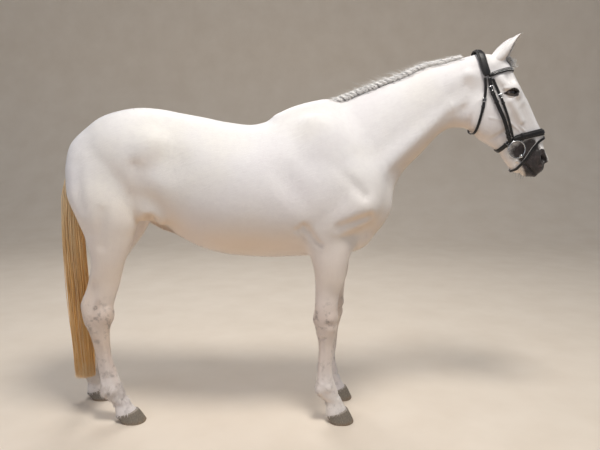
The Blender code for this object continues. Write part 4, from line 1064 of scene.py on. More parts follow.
def lie_of_coat(p):
    """The way the hair points: back and down the trunk and neck, down the legs, down the face."""
    x, z = p[0], p[2]
    neck = blur(x, 0.20, 0.45)
    down = 0.34 + 0.45 * neck + 0.25 * blur(x, 0.30, 0.45) * (1 - blur(z, 1.20, 1.40))
    body = np.stack([-np.ones_like(x), 0 * x, -down], 1)
    leg = np.stack([-0.12 + 0 * x, 0 * x, -np.ones_like(x)], 1)
    face = np.stack([0.50 + 0 * x, 0 * x, -0.866 + 0 * x], 1)
    along, across = head_place(p)
    cheek = blur(-across, -0.02, 0.08) * (1 - blur(along, 0.30, 0.45))
    face = face + cheek[:, None] * np.array([-0.75, 0.0, 0.05])
    poll = 1 - blur(along, 0.03, 0.12)
    face = face + poll[:, None] * np.array([-0.6, 0.0, 0.9])
    lie = body + leg_share(p)[:, None] * (leg - body)
    lie = lie + on_the_head(p)[:, None] * (face - lie)
    return lie / np.linalg.norm(lie, axis=1)[:, None]


def near_eye(p):
    """Least distance in the plane of the lids from either eye's opening."""
    best = np.full(len(p[0]), 1.0)
    for side in (-1, 1):
        centre, onward, up, _ = eye_frame(side)
        d = np.stack(p, 1) - centre
        gap = almond(d @ onward, d @ up)
        best = np.where(np.linalg.norm(d, axis=1) < 0.08, np.minimum(best, gap), best)
    return best


def dark_skin_and_noseband_shade(p):
    """How much of the dark skin shows: lids, muzzle, lips, nostrils, under the tail, between the thighs.
    Below the noseband it is also painted shade.
    """
    x, y, z = p
    along, across = head_place(p)
    head = on_the_head(p)
    lids = 1 - blur(near_eye(p), 0.004, 0.011)
    rear = np.zeros_like(x)
    for side in (-1, 1):
        centre, onward, up, _ = eye_frame(side)
        d = np.stack(p, 1) - centre
        a, b = d @ onward, d @ up
        here = np.linalg.norm(d, axis=1) < 0.07
        rear = np.maximum(rear, here * (1 - blur(np.hypot((a + 0.030) / 1.7, b), 0.002, 0.009)))
        rear = np.maximum(rear, here * 0.85 * (1 - blur(np.hypot((a - 0.014) / 1.4, b + 0.012), 0.006, 0.014)))
    front = blur(across, 0.030, 0.085) * (1 - 0.7 * blur(along, 0.560, 0.610))
    muzzle = blur(along, 0.455, 0.585) * (1 - 0.75 * front)
    mouth = 1 - blur(cord(p, on_head(0.500, 0.056, -0.044), on_head(0.628, 0.026, -0.006), 0.0), 0.004, 0.045)
    hole = 1 - blur(cord(p, on_head(0.520, 0.055, 0.060), on_head(0.568, 0.052, 0.050), 0.010), 0.000, 0.022)
    # Below the noseband: grey skin, darkened further with painted shade cast by the noseband.
    grey = 0.90 * blur(along, 0.380, 0.455) * (1 - 0.85 * blur(across, 0.048, 0.085)) * blur(across, -0.110, -0.050)
    pale_chin = blur(along, 0.470, 0.520) * (1 - blur(across, -0.066, -0.040))
    face = np.maximum.reduce([muzzle, mouth * 0.75, hole, grey]) * (1 - 0.72 * pale_chin)
    groin = 1 - blur(ball(p, (-0.72, 0.0, 1.02), (0.11, 0.07, 0.06), -20, False), 0.0, 0.05)
    groin *= 1 - blur(np.abs(y), 0.08, 0.12)
    dock = (1 - blur(np.hypot(x + 1.15, z - 1.30), 0.04, 0.10)) * (1 - blur(np.abs(y), 0.02, 0.05))
    return np.maximum.reduce([lids * head, rear * head, face * head, 0.15 * groin, 0.6 * dock])


def painted_ground_bounce(p, facing):
    """How much painted light bounced from the ground shows: underneath and low on the body, less on legs and face."""
    under = blur(-facing[:, 2], -0.10, 0.80)
    low = 0.60 * (1 - blur(p[2], 0.70, 1.34)) * blur(p[2], 0.10, 0.45)
    return np.maximum(under * (1 - 0.5 * leg_share(p)) * (1 - 0.4 * on_the_head(p)), low)


def joint_dust(p):
    """How much of the grey shows through the thin hair of the knees, hocks, cannons and fetlocks."""
    z = p[2]
    knee = np.exp(-(((z - 0.545) / 0.085) ** 2))
    fetlock = 0.55 * np.exp(-(((z - 0.175) / 0.060) ** 2))
    cannon = 0.45 * (1 - blur(z, 0.55, 0.72))
    # Darker streaks down the side of the hock, on its point, and along the front of the cannon.
    streak = 1 - blur(cord(p, (-1.006, 0.175, 0.640), (-1.038, 0.180, 0.530), 0.004, 0.010), 0.0, 0.026)
    point = 0.8 * (1 - blur(cord(p, (-1.098, 0.140, 0.625), (-1.075, 0.140, 0.560), 0.010), 0.0, 0.035))
    front = 0.7 * (1 - blur(cord(p, (-0.975, 0.150, 0.440), (-0.945, 0.150, 0.200), 0.010), 0.0, 0.025))
    marks = np.maximum.reduce([1.25 * streak, point, front])
    return np.clip(np.maximum.reduce([knee, fetlock, cannon, marks]) * (1 - blur(z, 0.62, 0.80)), 0, 1)


def hair_length(p):
    """Length of the coat in metres: short on the face and feet, longer under the jaw and on the belly."""
    along = head_place(p)[0]
    length = 0.016 - 0.005 * leg_share(p)
    length = length + (0.0085 - length) * on_the_head(p)
    length = length * (1 - 0.35 * blur(along, 0.42, 0.52) * on_the_head(p))
    gap = near_eye(p)
    return np.where(gap < 0.02, 0.0045 + 0.15 * np.clip(gap, 0, 0.02), length)


def store(mesh, name, values, kind="FLOAT"):
    field = "vector" if kind == "FLOAT_VECTOR" else "value"
    mesh.attributes.new(name, kind, "POINT").data.foreach_set(
        field, np.ascontiguousarray(values, np.float32).ravel()
    )


def points_of(mesh):
    points = np.empty(len(mesh.vertices) * 3, np.float32)
    mesh.vertices.foreach_get("co", points)
    return points.reshape(-1, 3).astype(float)


def shifted(mesh):
    """Moves a mesh made in the builder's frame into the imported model's."""
    mesh.vertices.foreach_set("co", (points_of(mesh) + SHIFT).astype(np.float32).ravel())
    mesh.update()


places = points_of(skin_mesh)
p = tuple(places.T)
in_ear = np.zeros(len(places))
lie = lie_of_coat(p)
for side in (-1, 1):
    root, axis, length, mouth, cross = ear_frame(side)
    d = places - root
    along_ear = d @ axis / length
    off = d - (d @ axis)[:, None] * axis
    on_ear = blur(along_ear, 0.02, 0.22) * (np.linalg.norm(off, axis=1) < 0.050) * (side * places[:, 1] > 0)
    lie += on_ear[:, None] * (axis - lie)
    in_ear = np.maximum(in_ear, on_ear)
store(skin_mesh, "lie", lie, "FLOAT_VECTOR")
store(skin_mesh, "dark", dark_skin_and_noseband_shade(p))
store(skin_mesh, "dust", joint_dust(p))
store(skin_mesh, "on_leg", leg_share(p))
store(skin_mesh, "on_head", on_the_head(p))
store(skin_mesh, "hair", hair_length(p))
skin_facing = np.empty(len(places) * 3, np.float32)
skin_mesh.vertex_normals.foreach_get("vector", skin_facing)
skin_facing = skin_facing.reshape(-1, 3).astype(float)
# Painted warm light from the ground, on what faces down and low on the body.
store(skin_mesh, "sand", painted_ground_bounce(p, skin_facing))
store(skin_mesh, "ear", in_ear)
skin_places = places


# How the shaders mix, scale and blend.
COLOURS, MULTIPLIED = {"data_type": "RGBA"}, {"data_type": "RGBA", "blend_type": "MULTIPLY"}
TIMES, PLUS = {"operation": "MULTIPLY"}, {"operation": "ADD"}
SMOOTH = {"interpolation_type": "SMOOTHSTEP"}


def coat_colour(tree, place):
    """The white coat over grey skin: warm and cool drifts, dust on the joints, dark where the skin is bare.
    Painted warm light shows underneath, and painted shade below the noseband.
    """
    broad = add(tree, "ShaderNodeTexNoise", {}, {"Vector": place, "Scale": 2.2, "Detail": 2.0, "Roughness": 0.55})
    fine = add(tree, "ShaderNodeTexNoise", {}, {"Vector": place, "Scale": 38.0, "Detail": 4.0, "Roughness": 0.65})
    fleck = add(tree, "ShaderNodeTexNoise", {}, {"Vector": place, "Scale": 150.0, "Detail": 3.0, "Roughness": 0.7})
    white = add(
        tree, "ShaderNodeValToRGB", {"stops": [(0.30, "#e4e0e2"), (0.50, "#ebe8e8"), (0.72, "#eeeae4")]}, (broad,)
    )
    white = add(
        tree, "ShaderNodeMix", COLOURS,
        {0: add(tree, "ShaderNodeMapRange", SMOOTH, (fine, 0.35, 0.75, 0.0, 0.20)), 6: white, 7: "#d6d0d2"}, 2
    )
    # Painted warm light bounced up from the ground, on what faces down and low on the body.
    sand = add(
        tree, "ShaderNodeMath", TIMES,
        (
            add(tree, "ShaderNodeAttribute", {"attribute_name": "sand"}, output="Fac"),
            add(tree, "ShaderNodeMapRange", SMOOTH, (broad, 0.25, 0.75, 0.62, 0.98))
        )
    )
    white = add(tree, "ShaderNodeMix", COLOURS, {0: sand, 6: white, 7: "#e6cdb4"}, 2)
    # Thin hair over grey-pink skin low on the legs.
    leg = add(tree, "ShaderNodeAttribute", {"attribute_name": "dust"}, output="Fac")
    white = add(
        tree, "ShaderNodeMix", COLOURS,
        {0: add(tree, "ShaderNodeMath", TIMES, (leg, 0.55)), 6: white, 7: "#c6b2a6"}, 2
    )
    blotch = add(
        tree, "ShaderNodeMapRange", SMOOTH,
        (
            add(tree, "ShaderNodeTexNoise", {}, {"Vector": place, "Scale": 26.0, "Detail": 5.0, "Roughness": 0.62}),
            0.50, 0.68
        )
    )
    smudge = add(tree, "ShaderNodeMath", TIMES, (add(tree, "ShaderNodeMath", TIMES, (leg, blotch)), 0.62))
    white = add(tree, "ShaderNodeMix", COLOURS, {0: smudge, 6: white, 7: "#6f6560"}, 2)
    # Bare dark skin, and painted shade below the noseband, its edge broken up by the coat.
    ragged = add(
        tree, "ShaderNodeMath", TIMES, (add(tree, "ShaderNodeMath", {"operation": "SUBTRACT"}, (fleck, 0.5)), 0.35)
    )
    drift = add(
        tree, "ShaderNodeMath", TIMES, (add(tree, "ShaderNodeMath", {"operation": "SUBTRACT"}, (fine, 0.5)), 0.6)
    )
    edge = add(
        tree, "ShaderNodeMath", PLUS,
        (
            add(tree, "ShaderNodeAttribute", {"attribute_name": "dark"}, output="Fac"),
            add(tree, "ShaderNodeMath", PLUS, (ragged, drift))
        )
    )
    bare = add(tree, "ShaderNodeMapRange", SMOOTH, (edge, 0.22, 0.85))
    skin_tone = add(
        tree, "ShaderNodeValToRGB", {"stops": [(0.35, "#2b2726"), (0.55, "#3a3332"), (0.75, "#54484a")]}, (fine,)
    )
    return add(tree, "ShaderNodeMix", COLOURS, {0: bare, 6: white, 7: skin_tone}, 2)


def along_hair(tree, place, turn, scale, detail=2.0):
    """Noise drawn out along the hair, which falls by turn degrees from level in the side plane."""
    settings = {"vector_type": "TEXTURE"}
    laid = add(
        tree, "ShaderNodeMapping", settings,
        {"Vector": place, "Rotation": (0, math.radians(turn), 0), "Scale": (1.0, 0.1, 0.1)}
    )
    return add(tree, "ShaderNodeTexNoise", {}, {"Vector": laid, "Scale": scale, "Detail": detail, "Roughness": 0.6})


def coat_grain(tree, place, scale):
    """The run of the coat on trunk, legs and head, each along its own lie."""
    leg = add(tree, "ShaderNodeAttribute", {"attribute_name": "on_leg"}, output="Fac")
    head = add(tree, "ShaderNodeAttribute", {"attribute_name": "on_head"}, output="Fac")
    body_grain = along_hair(tree, place, -24, scale)
    leg_grain = along_hair(tree, place, -86, scale)
    head_grain = along_hair(tree, place, 60, scale * 1.4)
    grain = add(tree, "ShaderNodeMix", {"data_type": "FLOAT"}, {0: leg, 2: body_grain, 3: leg_grain})
    return add(tree, "ShaderNodeMix", {"data_type": "FLOAT"}, {0: head, 2: grain, 3: head_grain})


# Short summer hair lying flat over skin: soft, a little glossy along the muscles. Single hairs are far finer than
# shows, so the grain is drawn as clumps about 2 mm and 6 mm across.
coat_skin, tree, shader = finish(
    "short white horse hair over skin", 0.58, Sheen_Weight=0.25, Sheen_Roughness=0.45, Specular_IOR_Level=0.35
)
place = add(tree, "ShaderNodeTexCoord", output="Object")
tree.links.new(coat_colour(tree, place), shader.inputs["Base Color"])
tree.links.new(
    add(
        tree, "ShaderNodeMapRange", SMOOTH,
        (add(tree, "ShaderNodeAttribute", {"attribute_name": "dark"}, output="Fac"), 0.2, 0.9, 0.60, 0.42)
    ),
    shader.inputs["Roughness"]
)
bump(
    tree, shader,
    [
        (coat_grain(tree, place, 13.0), 0.0008), (coat_grain(tree, place, 45.0), 0.0005),
        (
            add(
                tree, "ShaderNodeTexNoise", {}, {"Vector": place, "Scale": 420.0, "Detail": 2.0, "Roughness": 0.55}
            ),
            0.0002
        )
    ]
)

shifted(skin_mesh)
skin = link_object("skin", skin_mesh)
skin_mesh.materials.append(coat_skin)
LEG_NODES = (
    "forearm", "knee", "fore_cannon", "fore_pastern", "gaskin", "hock", "hind_cannon", "hind_pastern", "ear"
)
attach(skin, "root")
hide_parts("head", "neck", "trunk", *[f"{part}_{side}" for part in LEG_NODES for side in ("left", "right")])


# ---------------------------------------------------------------- coat
# The summer coat: hairs 5 to 16 mm long in small flat tufts of three points, rooted in the skin and lying along it.
# Each stretch of the body has its own piece. Longer tufts fringe the jaw, ears, elbows, cannons and fetlocks.
HEAD_PATCH = (0.02, 0.02, 0.36, 0.36)  # places on the unwrap: left, bottom, width, height
TRUNK_PATCH = (0.02, 0.41, 0.96, 0.57)


def unwrapped(p):
    """The skin's own unwrap: the trunk slit along the belly, each leg down its inside, the head under its jaw."""
    x, y, z = p
    onto = np.zeros((len(x), 2))
    spine = np.interp(x, (-1.15, -0.6, 0.2, 0.5, 0.9), (1.28, 1.22, 1.25, 1.50, 1.62))
    turn = 0.5 + np.arctan2(y, z - spine + 1e-9) / (2 * math.pi)
    left, bottom, wide, tall = TRUNK_PATCH
    onto[:, 0] = left + wide * np.clip((x + 1.18) / 2.14, 0, 1)
    onto[:, 1] = bottom + tall * turn
    along, across = head_place(p)
    head = on_the_head(p) > 0.5
    left, bottom, wide, tall = HEAD_PATCH
    turn = 0.5 + np.arctan2(y, across + 0.03) / (2 * math.pi)
    onto[head, 0] = (left + wide * np.clip((along + 0.20) / 0.84, 0, 1))[head]
    onto[head, 1] = (bottom + tall * turn)[head]
    for number, (fore, side) in enumerate(((True, -1), (True, 1), (False, -1), (False, 1))):
        leg = (leg_share(p) > 0.5) & ((x > -0.4) == fore) & (y * side > 0)
        back, front, _, out = stations(FORE_LEG if fore else HIND_LEG, z)
        ahead = (LEFT_FORE_AHEAD if fore else LEFT_HIND_AHEAD) if side > 0 else None
        middle = 0.5 * (back + front) + (np.interp(z, *zip(*ahead)) if ahead else 0)
        turn = 0.5 + np.arctan2(x - middle, y * side - out) / (2 * math.pi)
        onto[leg, 0] = (0.41 + 0.145 * number + 0.13 * turn)[leg]
        onto[leg, 1] = (0.02 + 0.36 * np.clip(z / 0.95, 0, 1))[leg]
    return onto


def socket(group, name, kind, value=None, output=False):
    """A named input or output of a node group."""
    made = group.interface.new_socket(
        name=name, in_out="OUTPUT" if output else "INPUT", socket_type="NodeSocket" + kind
    )
    if value is not None:
        made.default_value = value
    return made.identifier


def tree_for(name, inputs):
    """A geometry tree with named inputs; gives the tree, its input node and the identifier of each input."""
    group = bpy.data.node_groups.new(name, "GeometryNodeTree")
    found = {"Geometry": socket(group, "Geometry", "Geometry")}
    for label, (kind, value) in inputs.items():
        found[label] = socket(group, label, kind, value)
    socket(group, "Geometry", "Geometry", output=True)
    return group, add(group, "NodeGroupInput", output=None), found


def grown_from(source, group, found, values, name):
    """Runs a geometry tree on an object and gives the result as a plain mesh object."""
    modifier = source.modifiers.new(name, "NODES")
    modifier.node_group = group
    for label, value in values.items():
        modifier[found[label]] = value
    bpy.context.view_layer.update()
    evaluated = source.evaluated_get(bpy.context.evaluated_depsgraph_get())
    mesh = bpy.data.meshes.new_from_object(evaluated)
    mesh.name = name
    source.modifiers.remove(modifier)
    return link_object(name, mesh)


def blade_object(name, spikes, steps, thin=0.3):
    """A tuft one long and one wide, lying along Y: spikes are (root X, tip X, half width, reach, rise)."""
    points = []
    blades = []
    faces = []
    for root_x, tip_x, half, reach, rise in spikes:
        start = len(points)
        for i in range(steps):
            t = i / steps
            x = root_x + (tip_x - root_x) * t * t
            w = half * (1 - (1 - thin) * t)
            h = rise * math.sin(math.pi * min(1.0, 0.15 + 0.85 * t)) - 0.03 * (1 - t) ** 4
            points += [(x - w, reach * t, h), (x + w, reach * t, h)]
            blades += [(0.5 + x - w, reach * t, h), (0.5 + x + w, reach * t, h)]
        points.append((tip_x, reach, 0.25 * rise))
        blades.append((0.5 + tip_x, reach, 0.25 * rise))
        for i in range(steps - 1):
            a = start + 2 * i
            faces.append((a, a + 1, a + 3, a + 2))
        a = start + 2 * (steps - 1)
        faces.append((a, a + 1, a + 2))
    mesh = bpy.data.meshes.new(name)
    mesh.from_pydata(points, [], faces)
    store(mesh, "blade", np.array(blades), "FLOAT_VECTOR")
    made = link_object(name, mesh)
    made.hide_render = True
    return made


def tuft_tree():
    """Scatters a tuft over the skin: rooted at random, laid along the hair and tipped up a little."""
    group, given, found = tree_for("tufts on skin", {
        "Tuft": ("Object", None), "Tufts per square metre": ("Float", 8000.0), "Seed": ("Int", 1),
        "Width": ("Float", 0.3), "Least lift": ("Float", 0.0), "Lift": ("Float", 0.05), "Spread": ("Float", 0.2),
        "Cling": ("Float", 1.0), "Finish": ("Material", None),
    })
    take = given.outputs
    dense = add(group, "GeometryNodeInputNamedAttribute", {"data_type": "FLOAT"}, ("tufts",))
    dense = add(group, "ShaderNodeMath", TIMES, (dense, take["Tufts per square metre"]))
    scatter = add(
        group, "GeometryNodeDistributePointsOnFaces",
        inputs={"Mesh": take["Geometry"], "Density": dense, "Seed": take["Seed"]}, output=None
    )
    root = add(group, "GeometryNodeInputPosition")
    kept = add(
        group, "GeometryNodeStoreNamedAttribute", {"data_type": "FLOAT_VECTOR", "domain": "POINT"},
        {"Geometry": scatter.outputs["Points"], "Name": "root", "Value": root}
    )
    way = add(
        group, "ShaderNodeVectorMath", {"operation": "SCALE"},
        {0: scatter.outputs["Normal"], "Scale": take["Cling"]}
    )
    kept = add(
        group, "GeometryNodeStoreNamedAttribute", {"data_type": "FLOAT_VECTOR", "domain": "POINT"},
        {"Geometry": kept, "Name": "skin_way", "Value": way}
    )
    way = add(group, "GeometryNodeInputNamedAttribute", {"data_type": "FLOAT_VECTOR"}, ("lie",))
    stand = add(
        group, "FunctionNodeAxesToRotation", {"primary_axis": "Z", "secondary_axis": "Y"},
        {0: scatter.outputs["Normal"], 1: way}
    )
    minus = add(group, "ShaderNodeMath", TIMES, (take["Spread"], -1.0))
    spin = add(
        group, "FunctionNodeRandomValue", {"data_type": "FLOAT"}, {2: minus, 3: take["Spread"], "Seed": 3}, 1
    )
    rise = add(
        group, "FunctionNodeRandomValue", {"data_type": "FLOAT"},
        {2: take["Least lift"], 3: take["Lift"], "Seed": 4}, 1
    )
    tip = add(group, "ShaderNodeCombineXYZ", inputs={"X": rise, "Z": spin})
    tip = add(group, "FunctionNodeEulerToRotation", inputs={0: tip})
    stand = add(group, "FunctionNodeRotateRotation", {"rotation_space": "LOCAL"}, {0: stand, 1: tip})
    long = add(group, "GeometryNodeInputNamedAttribute", {"data_type": "FLOAT"}, ("hair",))
    vary = add(group, "FunctionNodeRandomValue", {"data_type": "FLOAT"}, {2: 0.65, 3: 1.25, "Seed": 5}, 1)
    long = add(group, "ShaderNodeMath", TIMES, (long, vary))
    kept = add(
        group, "GeometryNodeStoreNamedAttribute", {"data_type": "FLOAT", "domain": "POINT"},
        {"Geometry": kept, "Name": "long", "Value": long}
    )
    wide = add(group, "ShaderNodeMath", TIMES, (long, take["Width"]))
    size = add(group, "ShaderNodeCombineXYZ", inputs={"X": wide, "Y": long, "Z": long})
    tuft = add(group, "GeometryNodeObjectInfo", inputs={"Object": take["Tuft"]}, output="Geometry")
    laid = add(
        group, "GeometryNodeInstanceOnPoints",
        inputs={"Points": kept, "Instance": tuft, "Rotation": stand, "Scale": size}
    )
    real = add(group, "GeometryNodeRealizeInstances", inputs={"Geometry": laid})
    # Each point of a clinging tuft is brought to its own height over the skin right under it.
    under = add(group, "GeometryNodeProximity", {"target_element": "FACES"}, {0: take["Geometry"]})
    blade = add(group, "GeometryNodeInputNamedAttribute", {"data_type": "FLOAT_VECTOR"}, ("blade",))
    high = add(group, "ShaderNodeSeparateXYZ", inputs={0: blade}, output="Z")
    long = add(group, "GeometryNodeInputNamedAttribute", {"data_type": "FLOAT"}, ("long",))
    high = add(group, "ShaderNodeMath", TIMES, (high, long))
    way = add(group, "GeometryNodeInputNamedAttribute", {"data_type": "FLOAT_VECTOR"}, ("skin_way",))
    out = add(group, "ShaderNodeVectorMath", {"operation": "SCALE"}, {0: way, "Scale": high})
    clung = add(group, "ShaderNodeVectorMath", inputs={0: under, 1: out})
    here = add(group, "GeometryNodeInputPosition")
    place = add(group, "ShaderNodeMix", {"data_type": "VECTOR"}, {"Factor": take["Cling"], 4: here, 5: clung}, 1)
    moved = add(group, "GeometryNodeSetPosition", inputs={"Geometry": real, "Position": place})
    done = add(group, "GeometryNodeSetMaterial", inputs={"Geometry": moved, "Material": take["Finish"]})
    add(group, "NodeGroupOutput", inputs={"Geometry": done}, output=None)
    return group, found


def read_attribute(mesh, name, wide=1):
    kind = "vector" if wide == 3 else "value"
    values = np.empty(len(mesh.vertices) * wide, np.float32)
    mesh.attributes[name].data.foreach_get(kind, values)
    return values.reshape(-1, wide).astype(float) if wide > 1 else values.astype(float)


def add_bake_map(mesh, spot, within):
    """The map OFBake: each tuft or lock is a patch 3 thousandths across at its root's spot on the unwrap."""
    patch = spot + 0.003 * (within - 0.5)
    corners = np.empty(len(mesh.loops), np.int32)
    mesh.loops.foreach_get("vertex_index", corners)
    for old in list(mesh.uv_layers):
        mesh.uv_layers.remove(old)
    mesh.uv_layers.new(name="OFBake").data.foreach_set(
        "uv", np.clip(patch, 0.001, 0.999)[corners].astype(np.float32).ravel()
    )


# The same white hair as the skin shows, seen as tufts. Light falls on them mostly as it does on the skin under
# them, so that a coat lying flat stays smooth.
coat_hair, tree, shader = finish(
    "white horse hair in tufts", 0.52, Sheen_Weight=0.3, Sheen_Roughness=0.4, Specular_IOR_Level=0.35
)
place = add(tree, "ShaderNodeTexCoord", output="Object")
tree.links.new(coat_colour(tree, place), shader.inputs["Base Color"])
own_way = add(tree, "ShaderNodeNewGeometry", output="Normal")
leaned = add(
    tree, "ShaderNodeVectorMath", {"operation": "MULTIPLY_ADD"},
    {
        0: add(tree, "ShaderNodeAttribute", {"attribute_name": "skin_way"}, output="Vector"), 1: (3.0, 3.0, 3.0),
        2: own_way
    }
)
leaned = add(tree, "ShaderNodeVectorMath", {"operation": "NORMALIZE"}, {0: leaned})
bump(tree, shader, [(coat_grain(tree, place, 60.0), 0.0003)], leaned)

flat_tuft = blade_object(
    "flat_tuft",
    ((-0.30, -0.40, 0.15, 0.86, 0.010), (0.02, 0.05, 0.17, 1.0, 0.013), (0.31, 0.38, 0.14, 0.80, 0.009)), 2
)
fringe_tuft = blade_object(
    "fringe_tuft",
    ((-0.22, -0.42, 0.12, 0.85, 0.10), (0.05, 0.10, 0.13, 1.0, 0.14), (0.28, 0.50, 0.11, 0.72, 0.08)), 3
)
TUFTS, tuft_found = tuft_tree()
x, y, z = (skin_places[:, axis] for axis in range(3))
p = (x, y, z)
is_head, is_leg = on_the_head(p), leg_share(p)
# No short tufts where the skin is dark, which below the noseband is partly painted shade.
bare = 1 - 0.92 * blur(dark_skin_and_noseband_shade(p), 0.45, 0.9)
clear_of_eye = blur(near_eye(p), 0.0035, 0.007)
length = hair_length(p)
along, across = head_place(p)
# Where the coat breaks the form, and how much longer it is there.
jaw = is_head * (
    1 - blur(across + 0.62 * np.clip(along, 0.0, 0.3), -0.02, 0.02)
) * (1 - blur(along, 0.45, 0.52))
ahead_fore = np.where(y > 0, np.interp(z, *zip(*LEFT_FORE_AHEAD)), 0)
ahead_hind = np.where(y > 0, np.interp(z, *zip(*LEFT_HIND_AHEAD)), 0)


def behind_leg(table, ahead, low, high, reach):
    near = 1 - blur(x - ahead - stations(table, z)[0], 0.2 * reach, reach)
    return near * blur(z, low - 0.02, low + 0.02) * (1 - blur(z, high - 0.03, high + 0.03))


def above_hoof():
    """The row of hair that hangs over the top of each hoof."""
    found = np.zeros_like(x)
    for (at, height, rise), ahead in zip(CORONETS, (ahead_fore, ahead_hind)):
        near = np.abs(x - ahead - at) < 0.10
        shift = np.where(y > 0, foot_shift(LEFT_FORE_AHEAD if at > 0 else LEFT_HIND_AHEAD), 0.0)
        over = z - (height + rise * (x - shift - at))
        found = np.maximum(found, near * blur(over, -0.004, 0.002) * (1 - blur(over, 0.008, 0.018)))
    return found


def coat_piece(name, share, density, long, seed, tuft=flat_tuft, lift=(0.0, 0.010), width=0.30, spread=0.16):
    """One stretch of the coat, scattered over a copy of the skin."""
    source = link_object(name + "_ground", skin_mesh.copy())
    store(source.data, "tufts", share)
    source.data.attributes["hair"].data.foreach_set("value", long.astype(np.float32))
    values = {
        "Tuft": tuft, "Tufts per square metre": density, "Seed": seed, "Width": width, "Least lift": lift[0],
        "Lift": lift[1], "Spread": spread, "Cling": 1.0 if tuft is flat_tuft else 0.0, "Finish": coat_hair,
    }
    made = grown_from(source, TUFTS, tuft_found, values, name)
    bpy.data.objects.remove(source)
    root = read_attribute(made.data, "root", 3) - SHIFT
    add_bake_map(made.data, unwrapped(tuple(root.T)), read_attribute(made.data, "blade", 3)[:, :2])
    for spare in ("root", "blade", "long", "lie", "tufts", "hair"):
        made.data.attributes.remove(made.data.attributes[spare])
    made.data.shade_smooth()
    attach(made, "root")
    return made


neck_part = blur(x, 0.24, 0.26) * (1 - is_head) * (z > 1.0)
rear_part = (x < -0.55) * (1 - (is_leg > 0.5))
middle_part = (1 - neck_part) * (1 - rear_part) * (1 - (is_leg > 0.5)) * (1 - (is_head > 0.5))
coat_piece("coat_barrel", middle_part, 9000.0, length, 11)
coat_piece("coat_quarters", rear_part, 10500.0, length, 12)
coat_piece("coat_neck", neck_part * (is_head <= 0.5), 13000.0, length, 13)
coat_piece("coat_legs", (is_leg > 0.5) * bare, 14000.0, length, 14)
coat_piece("coat_head", (is_head > 0.5) * bare * clear_of_eye, 48000.0, 0.85 * length, 15, width=0.26)
fringe = np.zeros_like(x)
fringe_length = np.full_like(x, 0.012)
for share, long in (
    (jaw, 0.017),
    (behind_leg(FORE_LEG, ahead_fore, 0.26, 0.50, 0.020), 0.014),
    (behind_leg(FORE_LEG, ahead_fore, 0.10, 0.21, 0.026), 0.026),
    (behind_leg(HIND_LEG, ahead_hind, 0.25, 0.50, 0.020), 0.014),
    (behind_leg(HIND_LEG, ahead_hind, 0.09, 0.20, 0.026), 0.026),
    (0.4 * (1 - blur(np.hypot(x - 0.045, z - 0.95), 0.02, 0.06)), 0.016),
    (1 - blur(ball(p, (-0.690, 0.0, 0.975), (0.13, 0.06, 0.06), 12, False), 0.0, 0.03), 0.024),
    (0.5 * (z < 1.0) * (np.abs(y) < 0.04) * (is_leg < 0.5), 0.020),
    (above_hoof(), 0.021),
):
    fringe = np.maximum(fringe, share)
    fringe_length = np.where(share > 0.4, np.maximum(fringe_length, long), fringe_length)
coat_piece("coat_fringes", fringe, 24000.0, fringe_length, 16, fringe_tuft, (0.0, 0.35), 0.22, 0.3)
inside = np.zeros_like(x)
for side in (-1, 1):
    root, axis, _, mouth, _ = ear_frame(side)
    d = skin_places - root
    off = d - (d @ axis)[:, None] * axis + mouth * 0.004
    inside = np.maximum(inside, (side * y > 0) * ((skin_facing * off).sum(1) < -0.3 * np.linalg.norm(off, axis=1)))
coat_piece("coat_ears", in_ear * (1 - inside), 130000.0, np.full_like(x, 0.009), 17)
coat_piece(
    "coat_inside_ears", in_ear * inside, 60000.0, np.full_like(x, 0.022), 18, fringe_tuft, (0.35, 0.80), 0.10, 0.5
)


# ---------------------------------------------------------------- tail
# Long straight tail hair, white where it springs from the dock and straw to honey coloured below, combed out and cut
# blunt just above the fetlocks. It hangs in some hundreds of locks from a dock of bone, muscle and short white hair.
TAIL = {
    "dock": (1.420, -1.160, -1.095, 0.024),
    "top": (1.370, -1.190, -1.112, 0.031),
    "bend": (1.280, -1.216, -1.122, 0.039),
    "upper hair": (1.100, -1.225, -1.130, 0.047),
    "level of the stifle": (0.920, -1.231, -1.124, 0.054),
    "middle": (0.700, -1.226, -1.114, 0.058),
    "level of the hock": (0.500, -1.218, -1.108, 0.060),
    "low": (0.300, -1.208, -1.102, 0.058),
    "cut end": (0.186, -1.205, -1.100, 0.055),
}
DOCK = ((-1.116, 1.396), (-1.150, 1.385), (-1.172, 1.335), (-1.180, 1.260), (-1.180, 1.170), (-1.178, 1.090))


def lock_tree():
    """Turns lines with a width and a tone into three-sided locks of hair."""
    group, given, found = tree_for("locks along lines", {"Finish": ("Material", None), "Thickness": ("Float", 1.0)})
    lines = add(group, "GeometryNodeMeshToCurve", inputs={"Mesh": given.outputs["Geometry"]})
    wide = add(group, "GeometryNodeInputNamedAttribute", {"data_type": "FLOAT"}, ("wide",))
    wide = add(group, "ShaderNodeMath", TIMES, (wide, given.outputs["Thickness"]))
    ring = add(group, "GeometryNodeCurvePrimitiveCircle", {"mode": "RADIUS"}, {"Resolution": 3, "Radius": 1.0})
    part = add(group, "GeometryNodeSplineParameter", output="Factor")
    ring = add(
        group, "GeometryNodeStoreNamedAttribute", {"data_type": "FLOAT", "domain": "POINT"},
        {"Geometry": ring, "Name": "round", "Value": part}
    )
    inputs = {"Curve": lines, "Profile Curve": ring, "Scale": wide, "Fill Caps": True}
    drawn = add(group, "GeometryNodeCurveToMesh", inputs=inputs)
    real = add(group, "GeometryNodeRealizeInstances", inputs={"Geometry": drawn})
    done = add(group, "GeometryNodeSetMaterial", inputs={"Geometry": real, "Material": given.outputs["Finish"]})
    add(group, "NodeGroupOutput", inputs={"Geometry": done}, output=None)
    return group, found


LOCKS, lock_found = lock_tree()


